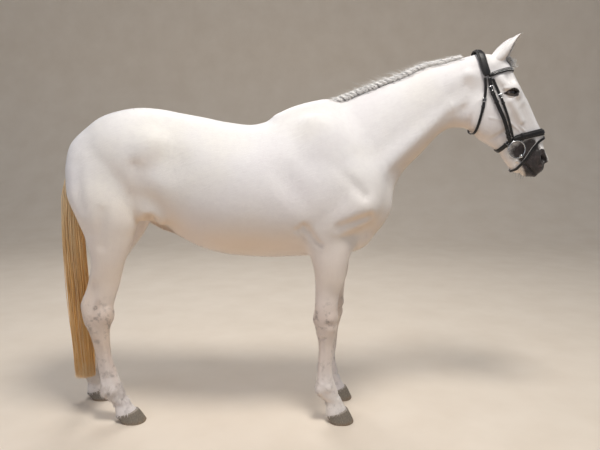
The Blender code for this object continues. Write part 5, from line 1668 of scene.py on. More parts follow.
def hair_piece(name, lines, widths, tones, spots, material_made):
    """One piece of long hair from lines of points, each with its widths, tone and spot on the unwrap."""
    steps = len(lines[0])
    count = len(lines)
    mesh = bpy.data.meshes.new(name + "_lines")
    points = np.concatenate(lines) + SHIFT
    edges = [(a * steps + i, a * steps + i + 1) for a in range(count) for i in range(steps - 1)]
    mesh.from_pydata(points.tolist(), edges, [])
    store(mesh, "wide", np.concatenate(widths))
    store(mesh, "tone", np.repeat(tones, steps))
    store(mesh, "along", np.tile(np.linspace(0, 1, steps), count))
    store(mesh, "spot", np.repeat(np.column_stack([spots, np.zeros(count)]), steps, 0), "FLOAT_VECTOR")
    source = link_object(name + "_lines", mesh)
    made = grown_from(source, LOCKS, lock_found, {"Finish": material_made, "Thickness": 1.0}, name)
    bpy.data.objects.remove(source)
    mesh = made.data
    part = np.stack([read_attribute(mesh, "round"), read_attribute(mesh, "along")], 1)
    add_bake_map(mesh, read_attribute(mesh, "spot", 3)[:, :2], part)
    for spare in ("wide", "spot", "round"):
        if spare in mesh.attributes:
            mesh.attributes.remove(mesh.attributes[spare])
    mesh.shade_smooth()
    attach(made, "root")
    return made


def long_hair(name, stops, shade, light, shine=0.42):
    """Long coarse hair: colour runs from root to end, each lock lighter or darker, with fine lines along it."""
    made, tree, shader = finish(name, shine, Specular_IOR_Level=0.45, Sheen_Weight=0.15)
    colour = add(
        tree, "ShaderNodeValToRGB", {"stops": stops},
        (add(tree, "ShaderNodeAttribute", {"attribute_name": "along"}, output="Fac"),)
    )
    tone = add(tree, "ShaderNodeAttribute", {"attribute_name": "tone"}, output="Fac")
    colour = add(
        tree, "ShaderNodeMix", COLOURS,
        {
            0: add(tree, "ShaderNodeMapRange", SMOOTH, (tone, 0.35, 1.0, 0.0, 0.45)), 6: colour,
            7: add(tree, "ShaderNodeMix", MULTIPLIED, {0: 1.0, 6: colour, 7: shade}, 2)
        },
        2
    )
    colour = add(
        tree, "ShaderNodeMix", COLOURS,
        {0: add(tree, "ShaderNodeMapRange", SMOOTH, (tone, 0.0, 0.35, 0.45, 0.0)), 6: colour, 7: light}, 2
    )
    place = add(tree, "ShaderNodeTexCoord", output="Object")
    laid = add(tree, "ShaderNodeMapping", inputs={"Vector": place, "Scale": (1.0, 1.0, 0.05)})
    streak = add(tree, "ShaderNodeTexNoise", {}, {"Vector": laid, "Scale": 700.0, "Detail": 2.0, "Roughness": 0.55})
    colour = add(
        tree, "ShaderNodeMix", COLOURS,
        {
            0: add(tree, "ShaderNodeMapRange", SMOOTH, (streak, 0.40, 0.70, 0.0, 0.18)), 6: colour,
            7: add(tree, "ShaderNodeMix", MULTIPLIED, {0: 1.0, 6: colour, 7: shade}, 2)
        },
        2
    )
    tree.links.new(colour, shader.inputs["Base Color"])
    bump(tree, shader, [(streak, 0.0006)])
    return made


tail_hair = long_hair("combed straw-coloured tail hair", [
    (0.00, "#f4f1ea"), (0.08, "#f6e6cc"), (0.24, "#f8d8a4"), (0.60, "#f8c67c"), (0.92, "#f6c67e"), (1.00, "#f8d6a0"),
], "#e0b47c", "#fbe8c6")


def tail_locks(count, seed):
    """Locks from the dock: out over it, down inside the tail's outline, and on to the cut."""
    draw = np.random.default_rng(seed)
    dock = np.array(DOCK)
    lines, widths, tones, spots = [], [], [], []
    steps = 24
    for _ in range(count):
        rooted = draw.random() ** 1.35
        angle = draw.random() * 2 * math.pi
        rho = math.sqrt(draw.random()) * (1.0 if draw.random() < 0.9 else 1.08)
        spot = (0.06 + 0.88 * angle / (2 * math.pi), 0.06 + 0.88 * rooted)
        x0 = np.interp(rooted * (len(dock) - 1), range(len(dock)), dock[:, 0])
        z0 = np.interp(rooted * (len(dock) - 1), range(len(dock)), dock[:, 1])
        core = 0.025 - 0.010 * rooted
        bottom = 0.186 + 0.020 * draw.random() ** 2 + (0.05 * draw.random() if draw.random() < 0.12 else 0.0)
        if math.cos(angle) < -0.5 and rho > 0.75 and draw.random() < 0.30:
            bottom = 0.42 + 0.30 * draw.random()
        z = z0 + (bottom - z0) * np.linspace(0, 1, steps) ** 1.05
        back, front, half = stations(TAIL, z)
        ease = blur(z0 - z, 0.0, 0.20 + 0.10 * draw.random())
        drift = angle + 0.35 * np.sin(2.2 * z + 9 * draw.random()) * draw.random()
        inward = rho * (1 - 0.03 * np.linspace(0, 1, steps))
        cx, a = 0.5 * (back + front), 0.5 * (front - back)
        wave = 0.0022 * np.sin(z * (9 + 9 * draw.random()) + 7 * draw.random()) * np.linspace(0, 1, steps)
        hang_x = cx + a * inward * np.cos(drift) + wave
        hang_y = half * inward * np.sin(drift) + wave * draw.normal()
        x = (1 - ease) * (x0 + core * math.cos(angle)) + ease * hang_x
        y = (1 - ease) * (core * math.sin(angle)) + ease * hang_y
        lines.append(np.stack([x, y, z], 1))
        t = np.linspace(0, 1, steps)
        body = (0.0014 + 0.0011 * draw.random()) * np.minimum(1, 0.45 + 4 * t) * (1 - 0.45 * t**3)
        body[-1] *= 0.55
        widths.append(body)
        # Locks deep inside the tail take a higher tone and so a darker colour: painted shade.
        tones.append(np.clip(draw.normal(0.32, 0.2) + 0.35 * (1 - rho), 0, 1))
        spots.append(spot)
    return lines, widths, np.array(tones), np.array(spots)


tail = hair_piece("tail_hair", *tail_locks(1280, 5), tail_hair)
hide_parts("tail")


def add_dock():
    """The bone and muscle of the tail, white-haired, hidden by the long hair except at its top."""
    made = bmesh.new()
    line = np.array([(x, z) for x, z in DOCK])
    way = np.gradient(line, axis=0)
    rings = []
    for i, ((x, z), (dx, dz)) in enumerate(zip(line, way)):
        size = math.hypot(dx, dz)
        radius = (0.010, 0.015, 0.015, 0.013, 0.010, 0.006)[i]
        ring = []
        for k in range(20):
            angle = 2 * math.pi * k / 20
            out = radius * math.cos(angle)
            ring.append(made.verts.new((x - out * dz / size, radius * 0.95 * math.sin(angle), z + out * dx / size)))
        rings.append(ring)
    lace(made, rings)
    made.faces.new(rings[0][::-1])
    made.faces.new(rings[-1])
    bmesh.ops.recalc_face_normals(made, faces=made.faces[:])
    mesh = smooth_mesh(made, "tail_dock")
    shifted(mesh)
    dock = link_object("tail_dock", mesh)
    soften = dock.modifiers.new("rounded", "SUBSURF")
    soften.levels = soften.render_levels = 2
    mesh.materials.append(coat_skin)
    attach(dock, "root")


add_dock()

# ---------------------------------------------------------------- plaited mane
# The mane is worked into one running plait on top of the crest: three strands crossed over each other, fed from the
# roots as it goes, thick at the withers and thin at the poll, with short broken hairs standing up out of it.


def crest_line(shares):
    """The top of the neck from the withers to the poll, and the way up from it."""
    along = 0.085 + shares * 0.665
    return placed(along, stations(NECK, along)[1], NECK_ROOT, NECK_RISE)


def plait_thickness(share):
    """Thick at the withers and thin at the poll."""
    return 0.0205 - 0.0105 * share


def plait_locks(seed, strands=3, turns=8.5, per_strand=36, steps=150):
    draw = np.random.default_rng(seed)
    t = np.linspace(0, 1, steps)
    x, z = crest_line(t)
    thick = plait_thickness(t)
    fade = np.minimum(1, np.minimum(t / 0.03, (1 - t) / 0.03) + 0.35)
    lines, widths, tones, spots = [], [], [], []
    for strand in range(strands):
        phase = 2 * math.pi * (turns * t + strand / strands)
        side = 0.62 * thick * np.sin(phase) * fade
        up = thick * (0.62 + 0.34 * np.sin(2 * phase))
        for number in range(per_strand):
            spin = 2 * math.pi * number / per_strand + draw.normal(0, 0.1)
            twist = spin + 2.2 * phase * 0.25
            radius = 0.50 * thick * fade * (1 + 0.10 * draw.normal())
            dy = side + radius * np.cos(twist)
            dz = up + radius * 0.82 * np.sin(twist)
            jitter = 0.0006 * np.sin(40 * t * (1 + draw.random()) + 9 * draw.random())
            line = np.stack([x - dz * math.sin(NECK_RISE), -0.006 + dy + jitter, z + dz * math.cos(NECK_RISE)], 1)
            lines.append(line)
            widths.append(0.0011 * (0.8 + 0.5 * draw.random()) * (0.55 + thick / 0.022) * np.ones(steps))
            tones.append(np.clip(draw.normal(0.25, 0.15), 0, 1))
            spots.append((0.05 + 0.9 * (strand + number / per_strand) / strands, 0.5))
    return lines, widths, np.array(tones), np.array(spots)


mane_hair = long_hair("plaited white mane hair", [
    (0.0, "#f1efec"), (0.5, "#f5f3f1"), (1.0, "#f2f0ee"),
], "#e4dfdb", "#faf9f7", 0.5)
plait = hair_piece("mane_plait_hair", *plait_locks(21), mane_hair)
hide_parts("mane_plait")


def crest_wisps(seed, count=1500, steps=7):
    """Broken hairs that stand up from the plait, and the roots drawn up into it from the near side of the crest."""
    draw = np.random.default_rng(seed)
    lines, widths, tones, spots = [], [], [], []
    shares = draw.random(count)
    sides = np.where(draw.random(count) < 0.6, -1, 1)
    depths = 0.016 + 0.012 * draw.random(count)
    x, z = crest_line(shares)
    outs = sides * (0.022 + 0.004 * draw.random(count))
    feet = settled(np.stack([x + depths * 0.5, outs, z - depths * 0.87], 1), flesh, 3)
    for number in range(count):
        share = shares[number]
        x, z = crest_line(np.array([share]))
        x, z = float(x[0]), float(z[0])
        thick = plait_thickness(share)
        t = np.linspace(0, 1, steps)
        if number % 5:
            start = np.array([x - 0.5 * thick, draw.normal(-0.006, 0.45 * thick), z + 0.87 * thick])
            amount = 0.008 + 0.020 * draw.random() ** 2 * (0.5 + math.sin(math.pi * min(1, share * 1.25)))
            lean = np.array([draw.normal(-0.25, 0.5), draw.normal(0, 0.5), 0.9])
            curl = np.array([draw.normal(0, 0.7), draw.normal(0, 0.7), -0.25])
            line = start + amount * (lean * t[:, None] + curl * (t**2)[:, None])
            wide = 0.00065 * (1 - 0.75 * t)
        else:
            side = sides[number]
            grip = np.array([x - 0.5 * thick - 0.03 * draw.random(), -0.006 + side * 0.6 * thick, z + 0.6 * thick])
            foot = feet[number]
            bow = np.array([0.0, side * 0.006, 0.006])
            line = foot + (grip - foot) * t[:, None] + bow * np.sin(math.pi * t)[:, None]
            wide = 0.0008 * (0.45 + 0.55 * np.sin(math.pi * t))
        lines.append(line)
        widths.append(wide)
        tones.append(np.clip(draw.normal(0.2, 0.15), 0, 1))
        spots.append((0.05 + 0.9 * share, 0.1 + 0.8 * draw.random()))
    # Short loose hairs run on from the end of the plait to the withers, lying back along the ridge.
    x, z = crest_line(np.array([0.0, 0.08]))
    back = np.array([x[0] - x[1], 0.0, z[0] - z[1]]) / math.hypot(x[0] - x[1], z[0] - z[1])
    reach = 0.15 * draw.random(count // 4)
    roots = np.array([x[0], 0.0, z[0]]) + back * reach[:, None]
    roots[:, 1] = draw.normal(0, 0.008, len(roots))
    for root in settled(roots, flesh, 4):
        way = back + np.array([draw.normal(0, 0.25), draw.normal(0, 0.45), 0.35 + 0.25 * draw.random()])
        line = root + (0.018 + 0.022 * draw.random()) * (
            way * t[:, None] - np.array([0, 0, 0.30]) * (t**2)[:, None]
        )
        lines.append(line)
        widths.append(0.0008 * (1 - 0.75 * t))
        tones.append(np.clip(draw.normal(0.2, 0.15), 0, 1))
        spots.append((0.03, 0.1 + 0.8 * draw.random()))
    return lines, widths, np.array(tones), np.array(spots)


wisps = hair_piece("crest_wisps", *crest_wisps(22), mane_hair)

# ---------------------------------------------------------------- forelock
# The hair between the ears, plaited short, its end tucked under the browband, with a few curls working loose.


def forelock_locks(seed, steps=44):
    draw = np.random.default_rng(seed)
    t = np.linspace(0, 1, steps)
    lines, widths, tones, spots = [], [], [], []
    along = 0.006 + 0.072 * t
    across = np.interp(t, (0, 0.3, 0.6, 1.0), (0.116, 0.132, 0.139, 0.135))
    for strand in range(3):
        phase = 2 * math.pi * (2.2 * t + strand / 3)
        thick = 0.0165 * (0.75 + 0.35 * np.sin(math.pi * t))
        side = 0.75 * thick * np.sin(phase)
        up = thick * (0.30 + 0.30 * np.sin(2 * phase))
        for number in range(26):
            spin = 2 * math.pi * number / 26 + draw.normal(0, 0.2)
            radius = 0.52 * thick * (1 + 0.12 * draw.normal())
            x, z = placed(along, across + up + radius * np.sin(spin + phase * 0.5), HEAD_ROOT, HEAD_DROP)
            lines.append(np.stack([x, side + radius * np.cos(spin + phase * 0.5), z], 1))
            widths.append(0.0010 * (0.8 + 0.5 * draw.random()) * np.ones(steps))
            tones.append(np.clip(draw.normal(0.15, 0.15), 0, 1))
            spots.append((0.05 + 0.9 * (strand + number / 26) / 3, 0.5))
    for number in range(190):
        start = draw.random()
        a = 0.006 + 0.070 * start
        c = np.interp(start, (0, 0.3, 0.6, 1.0), (0.126, 0.142, 0.149, 0.143))
        y = draw.normal(0, 0.014)
        loop = 0.006 + 0.011 * draw.random()
        turn = 2.5 + 2.5 * draw.random()
        lean = draw.normal(0, 0.5)
        curl_a = a + 0.022 * t * draw.random() + loop * np.sin(turn * t) * 0.6
        curl_c = c + loop * (1 - np.cos(turn * t)) * 0.55
        x, z = placed(curl_a, curl_c, HEAD_ROOT, HEAD_DROP)
        lines.append(np.stack([x, y + lean * loop * t, z], 1))
        widths.append(0.0008 * (1 - 0.7 * t))
        tones.append(np.clip(draw.normal(0.15, 0.15), 0, 1))
        spots.append((0.05 + 0.9 * draw.random(), 0.9))
    return lines, widths, np.array(tones), np.array(spots)


forelock = hair_piece("forelock_hair", *forelock_locks(31), mane_hair)
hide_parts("forelock")


# ---------------------------------------------------------------- eyes
# A clear bulging cornea over a very dark brown iris, with the long level pupil of a horse;
# a rim of white shows only at the corners.


def add_eye(side):
    centre, onward, up, out = eye_frame(side)
    made = bmesh.new()
    bmesh.ops.create_uvsphere(made, u_segments=64, v_segments=40, radius=1.0)
    for v in made.verts:
        a, b, c = v.co
        swell = 1 + 0.045 * math.exp(-((a / 0.62) ** 2 + (b / 0.50) ** 2)) * (c > 0)
        v.co = centre + (onward * a + up * b + out * c) * (EYE_RADIUS * swell)
    bmesh.ops.recalc_face_normals(made, faces=made.faces[:])
    mesh = smooth_mesh(made, "eyeball")
    places = points_of(mesh) - centre
    store(mesh, "level", places @ onward / EYE_RADIUS)
    store(mesh, "rise", places @ up / EYE_RADIUS)
    shifted(mesh)
    eye = link_object("eyeball_" + ("right" if side < 0 else "left"), mesh)
    mesh.materials.append(eye_finish)
    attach(eye, "root")
    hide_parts("eye_" + ("right" if side < 0 else "left"))


# Wet cornea over a nearly black iris: the gloss comes from a clear coat over the dark ground.
eye_finish, tree, shader = finish(
    "wet dark horse eye", 0.12, Coat_Weight=1.0, Coat_Roughness=0.02, Specular_IOR_Level=0.6
)
level, rise = (
    add(tree, "ShaderNodeAttribute", {"attribute_name": name}, output="Fac") for name in ("level", "rise")
)


def oval(wide, tall, power):
    """1 along an oval round the middle of the eye, less inside it."""
    sides = ((level, wide), (rise, tall))
    parts = [
        add(
            tree, "ShaderNodeMath", {"operation": "ABSOLUTE"},
            (add(tree, "ShaderNodeMath", {"operation": "DIVIDE"}, (value, reach)),)
        ) for value,
        reach in sides
    ]
    return add(
        tree, "ShaderNodeMath", PLUS,
        (*[add(tree, "ShaderNodeMath", {"operation": "POWER"}, (part, power)) for part in parts],)
    )


pupil, iris = oval(0.44, 0.24, 2.6), oval(0.80, 0.62, 2.2)
place = add(tree, "ShaderNodeTexCoord", output="Object")
fibres = add(tree, "ShaderNodeTexNoise", {}, {"Vector": place, "Scale": 700.0, "Detail": 3.0, "Roughness": 0.55})
brown = add(tree, "ShaderNodeValToRGB", {"stops": [(0.35, "#1a0e08"), (0.65, "#3a2213")]}, (fibres,))
colour = add(
    tree, "ShaderNodeMix", COLOURS,
    {0: add(tree, "ShaderNodeMapRange", SMOOTH, (pupil, 0.85, 1.15)), 6: "#040405", 7: brown}, 2
)
white = add(tree, "ShaderNodeValToRGB", {"stops": [(0.4, "#4a3a30"), (0.7, "#8d7f74")]}, (fibres,))
colour = add(
    tree, "ShaderNodeMix", COLOURS,
    {0: add(tree, "ShaderNodeMapRange", SMOOTH, (iris, 0.92, 1.25)), 6: colour, 7: white}, 2
)
tree.links.new(colour, shader.inputs["Base Color"])
for side in (-1, 1):
    add_eye(side)


def lash_lines(side, seed):
    """Lashes along the rim of the upper lid, longest in the middle, curving down and out; a few feelers below."""
    draw = np.random.default_rng(seed)
    centre, onward, up, out = eye_frame(side)
    lines, widths, tones, spots = [], [], [], []
    t = np.linspace(0, 1, 7)
    for number in range(64):
        a = -0.019 + 0.038 * (number + draw.random()) / 64
        upper = number % 8 > 0
        b = (
            LID_RISE - LID_OVER + math.sqrt(LID_OVER**2 - a * a) if upper
            else -(LID_DROP - LID_UNDER + math.sqrt(LID_UNDER**2 - a * a))
        )
        ball_out = math.sqrt(max((EYE_RADIUS + 0.0025) ** 2 - a * a - b * b, 1e-6))
        long = (0.015 if upper else 0.010) * (1 - 0.5 * abs(a) / 0.02) * (0.75 + 0.4 * draw.random())
        root = centre + onward * a + up * b + out * ball_out
        way = out * 0.9 + up * (-0.25 if upper else -0.6) + onward * (a / 0.05 + draw.normal(0, 0.12))
        curl = up * (0.35 if upper else -0.1)
        lines.append(root + long * (way * t[:, None] + curl * (t**2)[:, None]))
        widths.append(0.00028 * (1 - 0.7 * t))
        tones.append(0.5)
        spots.append((0.1 + 0.8 * number / 64, 0.3 + 0.3 * (side > 0)))
    return lines, widths, tones, spots


lash_hair = long_hair(
    "dark stiff lashes and feelers", [(0.0, "#3b3431"), (1.0, "#6f655e")], "#2c2725", "#4a423d", 0.6
)


def feelers(seed):
    """Whiskers on the lips, chin and round the nostrils, each a single stiff hair."""
    draw = np.random.default_rng(seed)
    lines, widths, tones, spots = [], [], [], []
    t = np.linspace(0, 1, 7)
    number = np.arange(150)
    low = np.where(number % 3 > 0, -0.085 + 0.075 * draw.random(150), -0.02 + 0.06 * draw.random(150))
    out = np.where(number % 2 > 0, -1, 1) * (0.010 + 0.045 * draw.random(150))
    x, z = placed(0.50 + 0.11 * draw.random(150), low, HEAD_ROOT, HEAD_DROP)
    starts = settled(np.stack([x, out, z], 1), head_skin, 6, 0.03)
    slopes = grade_of(head_skin, starts)[1]
    slopes /= np.linalg.norm(slopes, axis=1)[:, None]
    for number, (start, slope) in enumerate(zip(starts, slopes)):
        long = 0.012 + 0.022 * draw.random() ** 1.5
        droop = np.array([0.15, 0.0, -0.55]) + draw.normal(0, 0.15, 3)
        lines.append(start + long * (slope * t[:, None] + droop * (t**2)[:, None] * 0.7))
        widths.append(0.00030 * (1 - 0.7 * t))
        tones.append(draw.random())
        spots.append((0.1 + 0.8 * number / 150, 0.85))
    return lines, widths, tones, spots


all_lines, all_widths, all_tones, all_spots = lash_lines(-1, 41)
for more in (lash_lines(1, 42), feelers(43)):
    all_lines, all_widths, all_tones, all_spots = (
        a + b for a, b in zip((all_lines, all_widths, all_tones, all_spots), more)
    )
lashes = hair_piece(
    "lashes_and_feelers", all_lines, all_widths, np.array(all_tones), np.array(all_spots), lash_hair
)

# ---------------------------------------------------------------- hooves
# Grey-brown horn: a slanting wall ringed by growth, fine upright fibres, the soft pale coronet band above it,
# round heel bulbs behind, and a concave sole with its frog. Trimmed, bare of shoes, dusty at the ground.


def hoof_outline(front, back, wide, angle):
    c, s = math.cos(angle), math.sin(angle)
    reach = abs(c) ** (0.85 if c > 0 else 0.62)
    x = 0.5 * (front + back) + 0.5 * (front - back) * math.copysign(reach, c)
    y = wide * math.copysign(abs(s) ** 0.95, s) * (1.0 if c > 0 else 1 - 0.10 * abs(c))
    notch = math.exp(-(((abs(angle) - math.pi) / 0.30) ** 2))
    return x + 0.010 * notch, y


def add_hoof(side, fore, ahead):
    shift = foot_shift(ahead)
    x0, z0, rise = CORONETS[0] if fore else CORONETS[1]
    toe, heel, half = (0.278, 0.152, 0.064) if fore else (-0.797, -0.925, 0.060)
    top_toe, top_heel, top_half = (0.2445, 0.137, 0.0462) if fore else (-0.8375, -0.9515, 0.0462)
    out = side * (0.146 if fore else 0.143)
    around = 72
    # Share of the way up, how far the wall stands out there, and the height added under it.
    profile = [(0.0, -0.0045), (0.012, -0.0020), (0.03, -0.0004)]
    profile += [
        (0.03 + 0.87 * i / 26, 0.00035 * math.sin(i * 1.9) + 0.0002 * math.sin(i * 4.3)) for i in range(1, 27)
    ]
    profile += [(0.93, 0.0002), (0.97, 0.0003), (1.01, -0.0008), (1.04, -0.0030), (1.06, -0.0070), (1.06, -0.0140)]
    made = bmesh.new()
    rings = []
    for share, proud in profile:
        lean = min(max(share, 0.0), 1.06)
        front = toe + (top_toe - toe) * lean + proud
        back = heel + (top_heel - heel) * lean - proud
        wide = half + (top_half - half) * lean + proud
        ring = []
        for k in range(around):
            angle = 2 * math.pi * k / around - math.pi
            fore_x, out_y = hoof_outline(front, back, wide, angle)
            bulb = math.exp(-(((abs(angle) - 2.72) / 0.30) ** 2)) * math.exp(-(((share - 0.72) / 0.30) ** 2))
            fore_x -= 0.0055 * bulb
            height = share * (z0 + rise * (fore_x - x0))
            ring.append(made.verts.new((fore_x + shift, out + out_y, height)))
        rings.append(ring)
    lace(made, rings)
    # The sole: a level rim of wall, a white line, a hollow, and the frog standing in it.
    last = rings[0]
    middle = 0.5 * (toe + heel)
    for shrink, lift in (
        (0.90, 0.0), (0.86, 0.0015), (0.80, 0.0030), (0.62, 0.0070), (0.45, 0.0090), (0.28, 0.0095), (0.12, 0.0095)
    ):
        ring = []
        for vertex in rings[0]:
            fore_x = middle + (vertex.co.x - shift - middle) * shrink
            out_y = (vertex.co.y - out) * shrink
            frog_wide = 0.020 * min(1.0, max(0.0, (middle + 0.022 - fore_x) / 0.075))
            frog = max(0.0, 1 - abs(out_y) / frog_wide) if frog_wide > 0.003 else 0.0
            height = lift * (1 - 0.75 * min(1.0, 1.8 * frog))
            ring.append(made.verts.new((fore_x + shift, out + out_y, height)))
        for k in range(around):
            made.faces.new((last[(k + 1) % around], last[k], ring[k], ring[(k + 1) % around]))
        last = ring
    made.faces.new(last)
    made.faces.new(rings[-1][::-1])
    bmesh.ops.recalc_face_normals(made, faces=made.faces[:])
    name = ("fore_" if fore else "hind_") + "hoof_" + ("right" if side < 0 else "left")
    mesh = smooth_mesh(made, name + "_horn")
    places = points_of(mesh)
    turn = np.arctan2(places[:, 1] - out, places[:, 0] - shift - middle)
    store(mesh, "turn", turn)
    store(mesh, "up_wall", places[:, 2] / (z0 + rise * (places[:, 0] - shift - x0)))
    shifted(mesh)
    hoof = link_object(name + "_horn", mesh)
    mesh.materials.append(horn)
    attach(hoof, "root")
    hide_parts(name)


# Horn grows down in fibres 0.3 mm thick, drawn here as streaks of 2 to 4 mm, and across in yearly rings.
horn, tree, shader = finish("trimmed grey horn", 0.50, Specular_IOR_Level=0.4)
turn, up_wall = (
    add(tree, "ShaderNodeAttribute", {"attribute_name": name}, output="Fac") for name in ("turn", "up_wall")
)
across = add(
    tree, "ShaderNodeCombineXYZ",
    inputs={
        "X": add(tree, "ShaderNodeMath", TIMES, (turn, 9.0)),
        "Y": add(tree, "ShaderNodeMath", TIMES, (up_wall, 0.8))
    }
)
streaks = add(tree, "ShaderNodeTexNoise", {}, {"Vector": across, "Scale": 5.0, "Detail": 4.0, "Roughness": 0.6})
rings_in = add(
    tree, "ShaderNodeCombineXYZ",
    inputs={
        "X": add(tree, "ShaderNodeMath", TIMES, (turn, 0.4)),
        "Y": add(tree, "ShaderNodeMath", TIMES, (up_wall, 9.0))
    }
)
growth = add(tree, "ShaderNodeTexNoise", {}, {"Vector": rings_in, "Scale": 1.6, "Detail": 2.0, "Roughness": 0.55})
place = add(tree, "ShaderNodeTexCoord", output="Object")
dusty = add(tree, "ShaderNodeTexNoise", {}, {"Vector": place, "Scale": 60.0, "Detail": 4.0, "Roughness": 0.65})
colour = add(
    tree, "ShaderNodeValToRGB",
    {"stops": [(0.28, "#5a534b"), (0.46, "#776f65"), (0.60, "#8f8678"), (0.75, "#a59b8b")]}, (streaks,)
)
colour = add(
    tree, "ShaderNodeMix", COLOURS,
    {0: add(tree, "ShaderNodeMapRange", SMOOTH, (growth, 0.40, 0.65, 0.0, 0.20)), 6: colour, 7: "#57504a"}, 2
)
colour = add(
    tree, "ShaderNodeMix", COLOURS,
    {0: add(tree, "ShaderNodeMapRange", SMOOTH, (up_wall, 0.90, 1.02, 0.0, 0.6)), 6: colour, 7: "#a79d92"}, 2
)
colour = add(
    tree, "ShaderNodeMix", COLOURS,
    {
        0: add(
            tree, "ShaderNodeMapRange", SMOOTH,
            (
                add(tree, "ShaderNodeMath", PLUS, (add(tree, "ShaderNodeMath", TIMES, (up_wall, 1.2)), dusty)),
                0.95, 0.35, 0.0, 0.65
            )
        ),
        6: colour, 7: "#8f7357"
    },
    2
)
tree.links.new(colour, shader.inputs["Base Color"])
bump(tree, shader, [(growth, 0.0006), (streaks, 0.0007), (dusty, 0.0004)])
for side, fore_ahead, hind_ahead in SIDES:
    add_hoof(side, True, fore_ahead)
    add_hoof(side, False, hind_ahead)


# ---------------------------------------------------------------- bridle leather
# An English bridle of black bridle leather: straps cut from hide 4 mm thick, their edges rounded and inked, the
# headpiece and noseband padded over felt and stitched round with waxed thread. It lies on the coat.


def surface_out(x, z, form):
    """How far out from the middle plane the outermost surface lies, at places in the side view."""
    tries = np.linspace(0.0, 0.16, 81)
    shape = (len(x), len(tries))
    grid = (np.repeat(x, 81), np.tile(tries, len(x)), np.repeat(z, 81))
    inside = form(grid).reshape(shape) < 0
    last = np.where(inside.any(1), 80 - np.argmax(inside[:, ::-1], 1), -1)
    low = np.where(last >= 0, tries[last], 0.0)
    high = low + tries[1]
    for _ in range(12):
        middle = 0.5 * (low + high)
        within = form((x, middle, z)) < 0
        low = np.where(within, middle, low)
        high = np.where(within, high, middle)
    return np.where(last >= 0, low, 0.0)


def tack_form(p):
    """The head as the straps press on it, without the fine folds."""
    form = join(neck_muscles(neck_form(p), p), head_bones(head_form(p), p), 0.05)
    return join(form, cord(p, on_head(0.255, 0.032, 0.106), on_head(0.470, 0.022, 0.098), 0.004, 0.010), 0.024)


def along_path(path, shares):
    """Places at shares of the length of a path of side-view points."""
    path = np.array(path)
    length = np.concatenate([[0], np.cumsum(np.linalg.norm(np.diff(path, axis=0), axis=1))])
    length /= length[-1]
    return through(length, path[:, 0], shares), through(length, path[:, 1], shares)


def strap_line(path, start_middle, end_middle, steps):
    """Points on the head under one strap, on the right side; an end on the middle plane is rounded off evenly."""
    fine = np.linspace(0, 1, 161)
    on_it = np.flatnonzero(surface_out(*along_path(path, fine), tack_form) > 0.002)
    first = fine[on_it[0]] if start_middle else 0.0
    last = fine[on_it[-1]] if end_middle else 1.0
    angle = np.linspace(0, math.pi, steps)
    if start_middle and end_middle:
        shares = 0.5 - 0.5 * np.cos(angle)
    elif start_middle:
        shares = 1 - np.cos(0.5 * angle)
    elif end_middle:
        shares = np.sin(0.5 * angle)
    else:
        shares = np.linspace(0, 1, steps)
    x, z = along_path(path, first + (last - first) * shares)
    y = surface_out(x, z, tack_form)
    y[0] = 0.0 if start_middle else y[0]
    y[-1] = 0.0 if end_middle else y[-1]
    line = np.stack([x, -y, z], 1)
    for _ in range(4):
        at, slope = grade_of(tack_form, line)
        line -= slope * np.minimum(at, 0)[:, None]
    return line


class Run:
    """A strap's run over the head: its line, and the ways onward, out and across at each point."""

    def __init__(self, path, ends=(False, False), both=False, side=-1, lift=(0.0012, 0.0012), steps=48):
        right = strap_line(path, *ends, steps)
        rise = np.linspace(lift[0], lift[1], steps)
        self.closed = both and ends[0] and ends[1]
        left = right[::-1] * [1, -1, 1]
        if self.closed:
            line = np.concatenate([right, left[1:-1]])
            rise = np.concatenate([rise, rise[::-1][1:-1]])
        elif both and ends[0]:
            line = np.concatenate([left, right[1:]])
            rise = np.concatenate([rise[::-1], rise[1:]])
        elif both:
            line = np.concatenate([right, left[1:]])
            rise = np.concatenate([rise, rise[::-1][1:]])
        else:
            line = right * [1, -side, 1]
        line = self.even(line)
        rise = np.interp(np.linspace(0, 1, len(line)), np.linspace(0, 1, len(rise)), rise)
        for _ in range(3):
            line = self.spread_out(line)
            at, slope = grade_of(tack_form, line)
            line = line - slope * np.minimum(at, 0)[:, None]
        if self.closed:
            onward = np.roll(line, -1, 0) - np.roll(line, 1, 0)
        else:
            onward = np.gradient(line, axis=0)
        onward /= np.linalg.norm(onward, axis=1)[:, None]
        up = grade_of(tack_form, line, 0.004)[1]
        for _ in range(4):
            up = self.spread_out(up)
        up -= onward * (up * onward).sum(1)[:, None]
        up /= np.linalg.norm(up, axis=1)[:, None]
        self.line = line + up * rise[:, None]
        self.onward, self.up, self.across = onward, up, np.cross(onward, up)

    def even(self, line):
        """The same line at even steps."""
        if self.closed:
            line = np.concatenate([line, line[:1]])
        place = np.concatenate([[0], np.cumsum(np.linalg.norm(np.diff(line, axis=0), axis=1))])
        count = max(16, int(place[-1] / 0.006))
        at = np.linspace(0, place[-1], count + 1)
        line = np.stack([np.interp(at, place, line[:, axis]) for axis in range(3)], 1)
        return line[:-1] if self.closed else line

    def spread_out(self, values):
        """Each value averaged with the two beside it."""
        if self.closed:
            return 0.5 * values + 0.25 * (np.roll(values, 1, 0) + np.roll(values, -1, 0))
        inner = 0.5 * values[1:-1] + 0.25 * (values[:-2] + values[2:])
        return np.concatenate([values[:1], inner, values[-1:]])

    def steps(self, first, last):
        """The numbers of the points from share first to share last."""
        end = len(self.line) - 1
        return np.arange(int(first * end), int(math.ceil(last * end)) + 1)

    def at(self, share):
        """Point and ways at a share of the length."""
        i = share * (len(self.line) - 1)
        a = int(min(i, len(self.line) - 2))
        t = i - a
        return tuple((1 - t) * v[a] + t * v[a + 1] for v in (self.line, self.onward, self.up, self.across))


